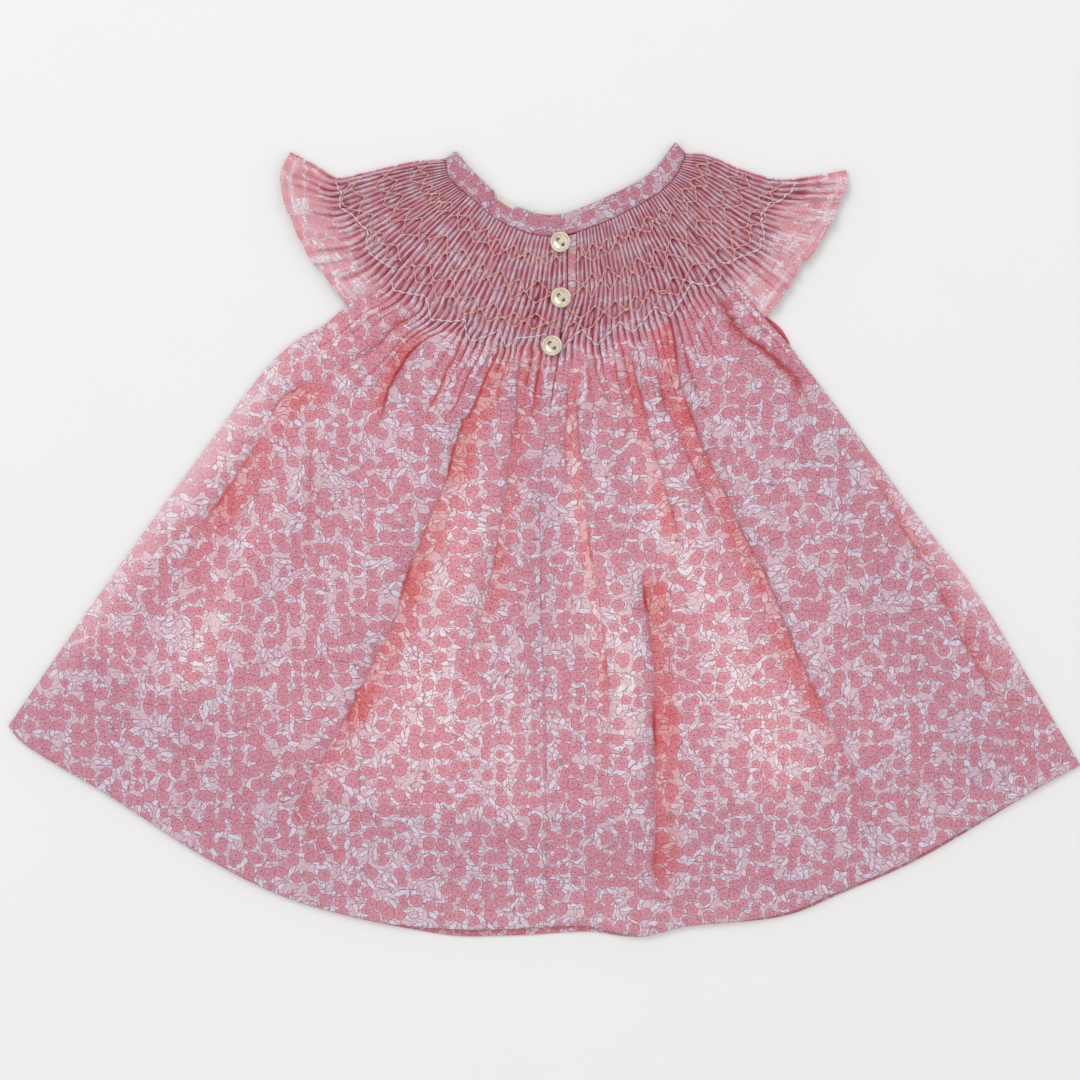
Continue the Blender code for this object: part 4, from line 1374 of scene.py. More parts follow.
@dataclass
class SkirtCrease:
    """A crease laid out on the body patch, and the column of cloth that follows it."""

    crease: Crease
    seed: float
    lead: float = 0.03
    tail: float = 0.30
    lip: float = 0.22
    shadow_reach: float = 8.0
    column: int = 0

    def __post_init__(self) -> None:
        """Finds the line's places across and down, and to which side the cloth is doubled."""
        self.downs, self.acrosses = np.transpose(sorted(BODY.locate(point)[::-1] for point in self.crease.line))
        self.side = self.crease.fold.value

    def across(self, down: Array) -> Array:
        """Where the line passes, at each place down."""
        return np.interp(down, self.downs, self.acrosses)

    def held(self, down: Array) -> Array:
        """How strong the crease is, 0 to 1, at each place down."""
        start, end = self.downs[0], self.downs[-1]
        tail = self.tail * (end - start)
        rise = ramp(start - self.lead, start + 0.5 * self.lead, down)
        sway = 0.88 + 0.12 * np.sin(down * 38 + self.seed * 5.0)
        return rise * ramp(end + 0.4 * tail, end - tail, down) * sway

    def trough(self, aside: Array) -> Array:
        """How far the cloth is below its level, in millimetres, at a distance to the right of the line."""
        depth, width = self.crease.depth, self.crease.width
        if not self.side:
            return depth * bell(aside / width)
        low_side = -aside * self.side
        fall = depth * np.exp(-np.maximum(low_side, 0) / width)
        return np.where(low_side > 0, fall, -self.lip * np.exp(low_side / width))

    def shows(self, down: Array) -> Array:
        """How strong the painted shade and the painted glow of the layers below are, 0 to 1: in patches at
        places down the line.
        """
        beat = np.sin(down * 34 + self.seed * 2.1) + 0.7 * np.sin(down * 71 + self.seed * 4.7)
        upper = ramp(0.36, 0.24, down)
        return np.clip(0.42 + 0.58 * ramp(-0.4, 1.4, beat) + 0.35 * upper, 0.0, 1.0)

    def line_mark(self, aside: Array, shows: Array) -> Array:
        """How much painted shade darkens the line at a distance to its right, where so much shows."""
        if not self.side:
            return self.crease.red * (0.6 + 0.4 * shows) * bell(aside / (0.62 * self.crease.width))
        broad = 0.30 * np.exp(-np.maximum(-aside * self.side, 0) / 0.5 - np.abs(aside) / 3.2)
        return self.crease.red * shows * np.maximum(bell(aside / (0.45 + 0.45 * shows)), broad)

    def shadow_mark(self, aside: Array) -> Array:
        """How much painted shade cools and darkens the cloth on the line's far side, at a distance to its
        right.
        """
        if not self.side:
            return 0.5 * self.crease.red * bell(aside / (1.6 * self.crease.width))
        away = -aside * self.side
        return self.crease.red * ramp(-0.5, 0.8, away) * np.exp(-np.maximum(away, 0) / self.shadow_reach)

    def strip_mark(self, aside: Array) -> Array:
        """How strong the painted glow of the layers below is in the cloth that lies double, at a distance to
        the line's right.
        """
        if not self.side:
            return np.zeros_like(aside)
        inward = aside * self.side
        inside = ramp(-0.4, 0.4, inward)
        return self.crease.red * inside * ramp(1.7 * self.crease.strip, 0.8 * self.crease.strip, inward)


@dataclass
class BodyRows:
    """The rows of points down the body: close in the smocking, wider in the skirt, close again at the hem."""

    yoke: int = 124
    skirt: int = 112
    hem: tuple[float, ...] = (0.990, 0.9945, 0.9975, 0.9992, 1.0)
    length: float = BODY_LENGTH

    def places(self) -> Array:
        """The rows' places down the patch."""
        upper = np.linspace(0.0, UNDERARM, self.yoke)
        lower = np.linspace(UNDERARM, 0.984, self.skirt)[1:]
        return np.concatenate([upper, lower, self.hem])


class Creased(NamedTuple):
    """What creases do at each point: depths and shifts in millimetres, and marks of painted shade and glow from
    0 to 1.
    """

    trough: Array
    lip: Array
    line: Array
    strip: Array
    shadow: Array
    shift: Array


@dataclass
class BackPanel:
    """One back panel: skirt and smocked yoke in one, between two edges across the body."""

    first: Callable[[Array], Array]
    last: Callable[[Array], Array]
    open_side: int
    print_shift: tuple[float, float]
    pleating: Pleating
    rows: BodyRows = field(default_factory=BodyRows)
    step_width: float = 0.75
    seam_radius: float = 3.0
    hem_radius: float = 1.4
    hem_depth: float = 60.0
    edge_height: float = BACK_BASE + 0.35
    streak_depth: float = 0.85
    # How strong the streaks' painted shade is, and how far the painted shade under the neck seam reaches.
    streak_red: float = 0.95
    seam_shadow: float = 0.6

    def __post_init__(self) -> None:
        """Lays the creases that lie on this panel onto its columns."""
        self.down = self.rows.places()
        self.columns = self.pleating.pleats * PLEAT_COLUMNS + 1
        self.low = self.first(self.down)
        self.high = self.last(self.down)
        self.creases: list[SkirtCrease] = []
        taken: set[int] = set()
        for number, crease in enumerate(CREASES):
            laid = SkirtCrease(crease, number)
            start = laid.downs[0]
            low, high = np.interp(start, self.down, self.low), np.interp(start, self.down, self.high)
            share = float((laid.acrosses[0] - low) / (high - low))
            if not 0.01 < share < 0.99:
                continue
            pleat = round(share * self.pleating.pleats)
            while pleat in taken and start < 0.3:
                pleat += 1
            taken.add(pleat)
            laid.column = min(max(pleat * PLEAT_COLUMNS - 1, 3), self.columns - 4)
            self.creases.append(laid)

    def spread(self) -> Array:
        """The columns' places across, [column][row], drawn to the creases that they follow."""
        index = np.arange(self.columns)[:, None]
        span = (self.high - self.low)[None, :]
        natural = self.low + span * index / (self.columns - 1)
        pull = 1 / (index**2 + 1.0) + 1 / ((self.columns - 1 - index) ** 2 + 1.0) + 0.002
        pull = np.broadcast_to(pull, natural.shape).copy()
        drawn = np.zeros_like(natural)
        for laid in self.creases:
            seat = laid.column + 0.5
            held = ramp(0.0, 0.35, laid.held(self.down))[None, :]
            near = held / ((index - seat) ** 2 + 0.01)
            resting = self.low + (self.high - self.low) * seat / (self.columns - 1)
            drawn += near * held * (laid.across(self.down) - resting)[None, :]
            pull += near
        gaps = np.diff(natural + drawn / pull, axis=0)
        gaps = np.maximum(gaps, 0.12 * span / (self.columns - 1))
        places = np.concatenate([np.zeros((1, len(self.down))), np.cumsum(gaps, axis=0)])
        places = self.low + span * places / places[-1][None, :]
        width = BODY.width(self.down)
        for laid in self.creases:
            if not laid.side:
                continue
            c = laid.column
            gap = places[c + 1] - places[c]
            close = np.maximum(gap - self.step_width / width, 0) / 2 * laid.held(self.down)
            for column, share in ((c - 1, 0.45), (c, 1.0), (c + 1, -1.0), (c + 2, -0.45)):
                places[column] += share * close
        return places

    def cloth(self) -> Sheet:
        """The panel's cloth, with its pleats, creases, hem and marks."""
        across = self.spread()
        rows = self.down[None, :]
        width = BODY.width(self.down)[None, :]
        fall = hem_lift(across) / LEFT_SEAM.length
        down = rows - fall * ramp(HEM_LIFT_FROM, 1.0, rows)
        place = BODY(across, down)
        number = (np.arange(self.columns) / PLEAT_COLUMNS)[:, None] + 0 * rows
        depth = rows * self.rows.length + 0 * across
        pleat = np.floor(number)

        end = last_row(BODY_LAST_ROW, across)
        release = ramp(end, end + 0.024 + 0.040 * self.pleating.chance(pleat, Chance.LINGER), rows)
        held = 1 - release
        ridge = self.pleating.ridge(number, depth, ramp(end - 0.006, end + 0.006, rows))
        gaps = self.pleating.gaps(number, depth) * (rows < end)
        pleated = self.pleating.rise * ridge * self.pleating.stature(number, depth) * (1 - 0.6 * gaps)
        streak, streak_line = self.streaks(number, rows - end)

        creased = self.creased(across, width)
        plateau = SKIRT_RELIEF * (1 - HEM_THINNING * ramp(SKIRT_EBB, 1.0, down))
        plateau = plateau + 0.16 * np.sin(place[..., 0] / 7.3 + 1.1 * np.sin(place[..., 1] / 31.0))
        sunk = np.minimum(np.maximum(creased.trough, streak), plateau + 0.3)
        skirt = (plateau - sunk - creased.lip) * between(SIDE_THINNING, across)

        height = BACK_BASE + WALL + body_loft(across, down) + held * pleated + release * skirt
        height = self.pleating.tucked(height, depth)
        outer = np.dstack([place, self.finish_edges(height, across, width, rows)])

        from_hem = (1 - rows) * self.rows.length + 0 * across
        doubled = ramp(self.hem_depth + 1.5, self.hem_depth - 1.5, from_hem)
        inner = shell_under(outer, LAWN + (HEM_LAWN - LAWN) * doubled, BACK_BASE - 0.15)

        shift = self.pleating.taken_in(number) * held + creased.shift
        printed = place + shift[..., None] * heading(place) + np.array(self.print_shift)
        # Painted light: highlights on the crests and on folded edges, shade in the valleys and gaps (deeper
        # where the smocking is drawn together, and under the neck seam), in the creases and streaks, and glow
        # where light comes through the cloth.
        above = ramp(end + 0.026, end - 0.004, rows)
        crest, deep = self.pleating.shading(number, depth, ridge, gaps)
        valley = above * (0.12 + 0.88 * deep) * (1 + 0.9 * patches_at(place, PULLS))
        valley = valley + 0.22 * np.exp(-depth / self.seam_shadow)
        crease = creased.line * (0.25 + 0.75 * release) + streak_line + held * (1 - above) * deep
        # Painted cool shade in dim patches and on the creases' far sides, laid in the same mark as the double
        # hem's darker tone.
        shadow = np.maximum(patches_at(place, DIMS), creased.shadow)
        marks = marked(
            crest=held * crest + 0.45 * release * patches_at(place, RIMS),
            valley=np.clip(valley, 0, 1),
            crease=np.clip(crease, 0, 1),
            strip=np.clip(creased.strip * release, 0, 1),
            glow=np.clip(patches_at(place, GLOWS) * release, 0, 1),
            doubled=np.clip(np.maximum(doubled * 0.7, shadow * release), 0, 1),
        )
        return Sheet(outer, inner, printed, marks)

    def creased(self, across: Array, width: Array) -> Creased:
        """What the panel's creases do to it.

        Args:
            across: The points' places across.
            width: The body's width at each row.

        Returns:
            Depths and shifts in millimetres, and marks of painted shade and glow from 0 to 1.
        """
        trough, lip, line, strip, shadow, shift = np.zeros((6, *across.shape))
        for laid in self.creases:
            middle = (across[laid.column] + across[laid.column + 1]) / 2
            aside = (across - middle) * width
            strength = laid.held(self.down)
            shows = laid.shows(self.down)
            profile = laid.trough(aside) * strength
            trough = np.maximum(trough, profile)
            lip = np.minimum(lip, profile)
            line = np.maximum(line, laid.line_mark(aside, shows) * strength)
            strip = np.maximum(strip, laid.strip_mark(aside) * strength * (0.36 + 0.78 * shows**1.3))
            shadow = np.maximum(shadow, laid.shadow_mark(aside) * strength)
            shift += 0.5 * laid.crease.hidden * np.sign(aside) * np.exp(-np.abs(aside) / PULL_REACH) * strength
        return Creased(trough, lip, line, strip, shadow, shift)

    def streaks(self, number: Array, below: Array) -> tuple[Array, Array]:
        """Small folds that run on below the smocking from the valleys between pleats.

        Args:
            number: The places across, in pleats.
            below: How far below the lowest row of stitches, as a share of the patch.

        Returns:
            Their depth in millimetres, and how much painted shade their lines take.
        """
        valley = np.round(number)
        run = self.pleating.chance(valley, Chance.STREAK_RUN)
        length = 0.034 + 0.045 * self.pleating.chance(valley, Chance.STREAK_LENGTH)
        length = length + 0.08 * (run > 0.50) + 0.09 * (run > 0.80)
        strong = 0.55 + 0.45 * self.pleating.chance(valley, Chance.STREAK_STRENGTH)
        aside = number - valley + 0.20 * np.sin(below * 30 + valley) * np.clip(below, 0, 1)
        fade = ramp(length, 0.35 * length, below) * (below > 0) * strong
        wide = 0.12 + 0.40 * np.clip(below, 0, 0.12)
        return self.streak_depth * fade * bell(aside / 0.24), self.streak_red * fade * bell(aside / wide)

    def finish_edges(self, height: Array, across: Array, width: Array, rows: Array) -> Array:
        """Rounds the cloth down at the side seam, the hem, the lapped edge and the centre seam.

        Args:
            height: The outer face's height.
            across: The places across.
            width: The body's width at each row.
            rows: The places down.

        Returns:
            The height with its edges rounded.
        """
        from_low = (across - self.low) * width
        from_high = (self.high - across) * width
        from_side, from_centre = (from_low, from_high) if self.open_side > 0 else (from_high, from_low)
        below_arm = ramp(UNDERARM - 0.015, UNDERARM + 0.03, rows)
        side = 1 - below_arm * (1 - rounded(from_side, self.seam_radius))
        hem = rounded((1 - rows) * self.rows.length, self.hem_radius)
        height = self.edge_height + (height - self.edge_height) * np.minimum(side, hem)
        opening = ramp(OPENING_END + 0.004, OPENING_END - 0.012, rows)
        groove = 1 - rounded(from_centre, 0.9)
        lapped = 0.34 if self.open_side > 0 else 0.08
        return height - groove * lapped * opening


@dataclass
class FrontPanel:
    """The front panel, under the back ones, pleated and creased on the underside that rests on the surface."""

    pleating: Pleating = Pleating(56, rise=0.75, seed=7.0)
    pleat_columns: int = 4
    skirt_rows: int = 80
    yoke_rows: int = 52
    top: float = 1.12
    clearance: float = 0.04
    edge_radius: float = 1.2
    inset: float = 0.3
    hem_depth: float = 60.0
    print_shift: tuple[float, float] = (411.0, 93.0)

    def cloth(self) -> Sheet:
        """The panel's cloth. Its outer face is the underside."""
        down = BodyRows(self.yoke_rows, self.skirt_rows).places()
        columns = self.pleating.pleats * self.pleat_columns + 1
        width = BODY.width(down)[None, :]
        inset = self.inset / width
        share = np.linspace(0.0, 1.0, columns)[:, None]
        across = inset + (1 - 2 * inset) * share
        rows = down[None, :] + 0 * across
        place = BODY(across, rows)
        number = share * self.pleating.pleats + 0 * rows
        depth = rows * BodyRows.length
        end = last_row(BODY_LAST_ROW, 1 - across)
        release = ramp(end - 0.004, end + 0.03 + 0.06 * scatter(np.floor(number), 9.0), rows)
        ridge = self.pleating.ridge(number, depth)
        trough, line = np.zeros((2, *across.shape))
        shift = self.pleating.taken_in(number) * (1 - release)
        for order, crease in enumerate(CREASES):
            laid = SkirtCrease(crease, order + 0.5)
            aside = (across - (1 - laid.across(down))[None, :]) * width
            strength = laid.held(down)
            soft = bell(aside / max(crease.width, 4.0)) * strength
            trough = np.maximum(trough, 0.5 * min(crease.depth, 1.3) * soft)
            # The creases' painted shade.
            line = np.maximum(line, 0.5 * crease.red * soft)
            shift += 0.4 * crease.hidden * np.tanh(aside / 3.0) * np.exp(-np.abs(aside) / PULL_REACH) * strength
        low = (1 - release) * self.pleating.rise * (1 - ridge) + release * trough * ramp(1.0, 0.94, rows)
        from_side = np.minimum(across, 1 - across) * width
        from_hem = (1 - rows) * BodyRows.length
        edge = np.minimum(rounded(from_side, self.edge_radius), rounded(from_hem, self.edge_radius))
        low = self.clearance + low + 0.35 * (1 - edge)
        doubled = ramp(self.hem_depth + 1.0, self.hem_depth - 1.5, from_hem)
        near_side = ramp(4.0, 1.5, from_side) * ramp(UNDERARM - 0.01, UNDERARM + 0.02, rows)
        high = low + LAWN + (HEM_LAWN - LAWN) * np.maximum(doubled, near_side)
        high = np.minimum(high - 0.3 * (1 - edge), self.top)
        outer = np.dstack([place, low])
        inner = np.dstack([place, np.maximum(high, low + 0.08)])
        printed = place * MIRROR - shift[..., None] * heading(place) + np.array(self.print_shift)
        # Painted shade in the pleats' valleys and in the creases, painted glow near the hem and in light
        # patches, and the double hem's darker tone.
        marks = marked(
            valley=(1 - release) * (1 - ridge) ** 1.25 * 0.9,
            crease=line * release,
            strip=0.45 * ramp(14.0, 0.0, from_hem),
            glow=0.5 * patches_at(place * MIRROR, GLOWS) * release,
            doubled=doubled * 0.85,
        )
        return Sheet(outer, inner, printed, marks)


class Gathered(NamedTuple):
    """How one half of a sleeve lies at each point.

    Number is the place across in pleats, and relief the height over the wall in millimetres. From 0 to 1,
    release says how far the smocking has let go, and ridge and wave how high pleats and ruffle stand.
    """

    number: Array
    release: Array
    ridge: Array
    wave: Array
    relief: Array


@dataclass
class Sleeve:
    """A flutter sleeve: one tube of cloth from the front raglan seam, round the shoulder, to the back one."""

    patch: Patch
    steps: tuple[Step, ...]
    stitched_to: tuple[Wave, ...]
    print_shift: tuple[float, float]
    pleating: Pleating
    lower_columns: int = 4
    fold_steps: int = 8
    yoke_rows: int = 60
    ruffle_rows: int = 34
    yoke_end: float = 0.60
    ruffle_end: float = 0.985
    hem: tuple[float, ...] = (0.993, 0.998, 1.0)
    waves: float = 8.0
    drift: float = 0.35
    ruffle_rise: float = 1.5
    ruffle_loft: float = 1.2
    ruffle_ends: float = 0.07
    hem_share: float = 0.045
    edge_radius: float = 0.7
    rolled: float = 0.35
    radius: float = (BACK_BASE + WALL) / 2

    def __post_init__(self) -> None:
        """Sets out the rows and the columns."""
        upper = np.linspace(0.0, self.yoke_end, self.yoke_rows)
        lower = np.linspace(self.yoke_end, self.ruffle_end, self.ruffle_rows)[1:]
        self.down = np.concatenate([upper, lower, self.hem])
        self.length = float(self.patch.left.length)
        self.width = self.patch.width(self.down)
        pleats = self.pleating.pleats
        self.under = np.linspace(1.0, 0.0, pleats * self.lower_columns + 1)
        self.over = np.linspace(0.0, 1.0, pleats * PLEAT_COLUMNS + 1)
        self.first_column = len(self.under) + self.fold_steps - 1

    def plan(self, shares: Array) -> Array:
        """Points of the sleeve in the plane, at shares of the way from its fold to its seam."""
        first = self.radius / self.width
        across = first[None, :] + (1 - first)[None, :] * shares[:, None]
        step = np.zeros(len(shares))
        for edge in self.steps:
            past = shares - edge.at
            step = np.maximum(step, edge.depth * (past >= 0) * np.clip(1 - past / edge.reach, 0.0, 1.0))
        down = self.down[None, :] * (1 - step[:, None] / self.length)
        return self.patch(across, down)

    def surface(self, shares: Array) -> Gathered:
        """How the sleeve lies at shares of the way from its fold to its seam."""
        share = shares[:, None] + 0 * self.down[None, :]
        rows = self.down[None, :] + 0 * share
        number = share * self.pleating.pleats
        depth = rows * self.length
        end = last_row(self.stitched_to, share)
        linger = 0.08 + 0.16 * self.pleating.chance(np.floor(number), Chance.LINGER)
        release = ramp(end - 0.015, end + linger, rows)
        ridge = self.pleating.ridge(number, depth)
        pleated = self.pleating.rise * ridge * self.pleating.stature(number, depth)
        turn = self.waves * share + self.drift * np.sin(3 * math.pi * share)
        wave = 0.5 - 0.5 * np.cos(2 * math.pi * turn)
        ends = between(self.ruffle_ends, share)
        ruffle = self.ruffle_loft * ends + self.ruffle_rise * wave**1.4 * ends
        return Gathered(number, release, ridge, wave, (1 - release) * pleated + release * ruffle)

    def cloth(self) -> Sheet:
        """The sleeve's cloth, from seam to seam."""
        hem = ramp(1 - self.hem_share, 1 - self.hem_share + 0.008, self.down)[None, :]
        edge = rounded((1 - self.down)[None, :] * self.length, self.edge_radius)
        thick = LAWN + self.rolled * hem

        under = self.surface(self.under)
        plan = self.plan(self.under)
        low = 0.04 + (1 - under.ridge) * (0.75 * (1 - under.release) + 0.3 * under.release)
        low_outer = np.dstack([plan, low + 0.15 * (1 - edge)])
        low_inner = np.dstack([plan, low + thick - 0.1 * (1 - edge)])

        angles = np.linspace(-math.pi / 2, math.pi / 2, self.fold_steps + 1)[1:-1]
        over = self.surface(self.over)
        high = BACK_BASE + WALL + over.relief - 0.12 * (1 - edge)
        high = self.pleating.tucked(high, (self.down * self.length)[None, :])
        high_outer = np.dstack([self.plan(self.over), high])
        high_inner = shell_under(high_outer, thick * (0.6 + 0.4 * edge), BACK_BASE - 0.1)

        outer = np.concatenate([low_outer, self.turned(angles, self.radius), high_outer])
        inner = np.concatenate([low_inner, self.turned(angles, self.radius - LAWN), high_inner])
        return Sheet(outer, inner, self.printed(outer[..., :2], over, under), self.marks(over, under, hem))

    def turned(self, angles: Array, turn_radius: float) -> Array:
        """The cloth round the shoulder fold, from its lowest line to its highest."""
        turn = self.radius - turn_radius * np.cos(angles)
        across = turn[:, None] / self.width[None, :]
        place = self.patch(across, self.down[None, :])
        height = self.radius + turn_radius * np.sin(angles)
        return np.dstack([place, np.broadcast_to(height[:, None], across.shape)])

    def printed(self, place: Array, over: Gathered, under: Gathered) -> Array:
        """The place on the printed cloth of each point in the plane."""
        direction = heading(self.plan(self.over))
        moved = place + np.array(self.print_shift)
        fold = self.patch(0.0, self.down)[None, :] + np.array(self.print_shift)
        hidden = self.first_column - self.fold_steps // 2
        moved[:hidden] = 2 * fold - moved[:hidden]
        for half, columns, way in (
            (over, slice(self.first_column, None), direction), (under, slice(len(self.under)), -direction[:1])
        ):
            shift = self.pleating.taken_in(half.number) * (1 - 0.6 * half.release)
            moved[columns] += shift[..., None] * way
        return moved

    def overlaps(self, share: Array) -> Array:
        """How much painted shade the ruffle pleats' lapped edges take, 0 to 1."""
        lapped = np.zeros_like(share)
        fade = ramp(0.66, 0.84, self.down)[None, :]
        for edge in self.steps:
            past = (edge.at - share) * self.width[None, :]
            line = bell(past / 0.6) + 0.45 * (past < 0) * np.exp(past / 3.0)
            lapped = np.maximum(lapped, min(edge.depth / 3.0, 1.0) * line * fade)
        return lapped

    def marks(self, over: Gathered, under: Gathered, hem: Array) -> dict[str, Array]:
        """The painted highlights, shade and glow, with the other marks, that the cloth's material reads at each
        point.
        """
        number, release, ridge, wave, _ = over
        share = self.over[:, None] + 0 * ridge
        depth = self.down[None, :] * self.length + 0 * ridge
        light, deep = self.pleating.shading(number, depth, ridge, self.pleating.gaps(number, depth))
        open_valley = release * (1 - wave) ** 2 * ramp(1.02, 0.70, self.down)[None, :]
        turned_up = bell((self.down - 1 + 1.35 * self.hem_share) / 0.012)[None, :]
        # Painted highlight on the crests, over the ruffle and along the turned-up hem.
        crest = (1 - release) * light + 0.19 * release + 0.45 * turned_up * (0.6 + 0.4 * np.sin(9.0 * share))
        # Painted shade in the valleys and gaps and under the neck seam.
        valley = (1 - release) * (0.13 + 0.87 * deep) + 0.12 * open_valley + 0.35 * np.exp(-depth / 0.6)
        lapped = self.overlaps(share)
        # Painted glow in the ruffle's open valleys, at the lapped edges and along the hem.
        strip = 0.20 * open_valley + 0.35 * lapped + hem * (0.30 + 0.25 * np.sin(14.0 * share + 1.0))

        # Streaks of painted shade that run on from the valleys below the smocking.
        valleys = np.round(number)
        strong = np.clip(2.2 * self.pleating.chance(valleys, Chance.STREAK_STRENGTH) - 0.25, 0.0, 1.0)
        reach = 0.08 + 0.26 * self.pleating.chance(valleys, Chance.STREAK_LENGTH)
        below = self.down[None, :] - last_row(self.stitched_to, share)
        run = ramp(-0.01, 0.02, below) * ramp(reach + 0.04, reach - 0.03, below)
        streak = run * (1 - ridge) ** 0.75 * strong

        # Painted shade in the valleys of the hidden half.
        hidden_valley = (1 - under.release) * (1 - under.ridge) ** 1.25 * 0.9
        shapes = (under.ridge.shape, (self.fold_steps - 1, len(self.down)), ridge.shape)
        parts = {
            "crest": (0.0, 0.0, crest),
            "valley": (hidden_valley, 0.1, valley),
            "crease": (0.0, 0.0, streak + 0.40 * lapped),
            "strip": (0.0, 0.0, strip),
            "glow": (0.3, 0.3, 0.80 * release),
            "doubled": (0.0, 0.0, 0.20 * release),
        }
        return {
            mark: np.clip(np.concatenate([np.broadcast_to(*pair) for pair in zip(values, shapes)]), 0, 1)
            for mark, values in parts.items()
        }


class Cord(Enum):
    """The two colours of smocking thread."""

    TRELLIS = "trellis"
    LAST = "last"


@dataclass
class SmockingStitches:
    """Rows of stitches over the pleats of one sheet of cloth, in millimetres."""

    sheet: Sheet
    down: Array
    length: float
    pleating: Pleating
    first_column: int
    last_row: tuple[Wave, ...]
    ends: tuple[float, float] = (0.0, 1.0)
    lead: Callable[[float], float] = no_strip
    radius: float = 0.37
    last_radius: float = 0.50
    points_per_pleat: int = 6
    step: float = 0.15
    sides: int = 6
    lead_height: float = BACK_BASE + 2.0
    sunk: float = 0.75
    bead: float = 0.50
    last_bead: float = 0.22

    def path(self, depth: Array, number: Array, radius: float) -> Array:
        """A thread that lies over the pleats.

        Args:
            depth: How far below the neck seam each point lies.
            number: Its place across, in pleats.
            radius: The thread's radius.

        Returns:
            The thread's points.
        """
        column = self.first_column + number * PLEAT_COLUMNS
        row = np.interp(depth / self.length, self.down, np.arange(len(self.down)))
        points = self.sheet.sample(column, row)
        pleat = np.floor(number)
        crest, following, preceding = (
            self.sheet.sample(self.first_column + (pleat + middle) * PLEAT_COLUMNS, row)[..., 2]
            for middle in (0.5, 1.5, -0.5)
        )
        within = number - pleat
        other = np.where(within > 0.5, following, preceding)
        bridge = crest + (other - crest) * np.abs(within - 0.5)
        sag = 0.55 * np.abs(within - 0.5)
        points[:, 2] = np.maximum(points[:, 2], bridge - sag) + self.sunk * radius
        before = number < 0
        if before.any():
            pitch = self.sheet.sample(self.first_column + 0 * number + PLEAT_COLUMNS, row) - points
            points[before, :2] += (pitch * number[:, None])[before, :2]
            points[before, 2] = self.lead_height + self.sunk * radius
        return points

    def numbers(self, depth: float) -> Array:
        """The places across at which a thread that lies this deep has its points."""
        first = min(0.5, 0.25 - self.lead(depth)) if self.lead(depth) > 0 else 0.5
        last = self.pleating.pleats - 0.5
        return np.linspace(first, last, round((last - first) * self.points_per_pleat) + 1)

    def stepped(self, number: Array) -> Array:
        """Places along a row that dwell on each pleat, where the needle passes through it."""
        return number - self.step * np.sin(2 * math.pi * (number - 0.5))

    def trellis(self, row: StitchRow) -> Array:
        """One zigzag row of the trellis."""
        number = self.numbers(row.level)
        phase, level = zigzag(row, self.stepped(number), self.pleating.seed)
        wave = 2 * np.abs(2 * (phase - np.round(phase))) - 1
        turn = np.where(wave < 0, np.round(phase), np.floor(phase) + 0.5)
        return self.path(level + tip_height(row, turn, self.pleating.seed) * wave, number, self.radius)

    def last(self) -> Array:
        """The lowest row, which waves."""
        number = self.numbers(self.length)
        low, high = self.ends
        across = low + (high - low) * (self.stepped(number) / self.pleating.pleats)
        depth = last_row(self.last_row, across) * self.length
        return self.path(depth - 1.0, number, self.last_radius)

    def beads(self, depth: float, radius: float, least: float) -> Array:
        """The radius along a row that lies this deep, which swells at each stitch from its least share."""
        swell = np.abs(np.sin(math.pi * self.numbers(depth))) ** 0.7
        return radius * (least + (1.05 - least) * swell)

    def build(self, name: str, cord: Cord, material: Material) -> Piece:
        """The rows of one colour as one piece."""
        if cord is Cord.LAST:
            paths = [self.last()]
            sizes = [self.beads(self.length, self.last_radius, self.last_bead)]
        else:
            paths = [self.trellis(row) for row in TRELLIS_ROWS]
            sizes = [self.beads(row.level, self.radius, self.bead) for row in TRELLIS_ROWS]
        return tubes(name, paths, sizes, self.sides, material)


# Bands, bindings, label and buttons.


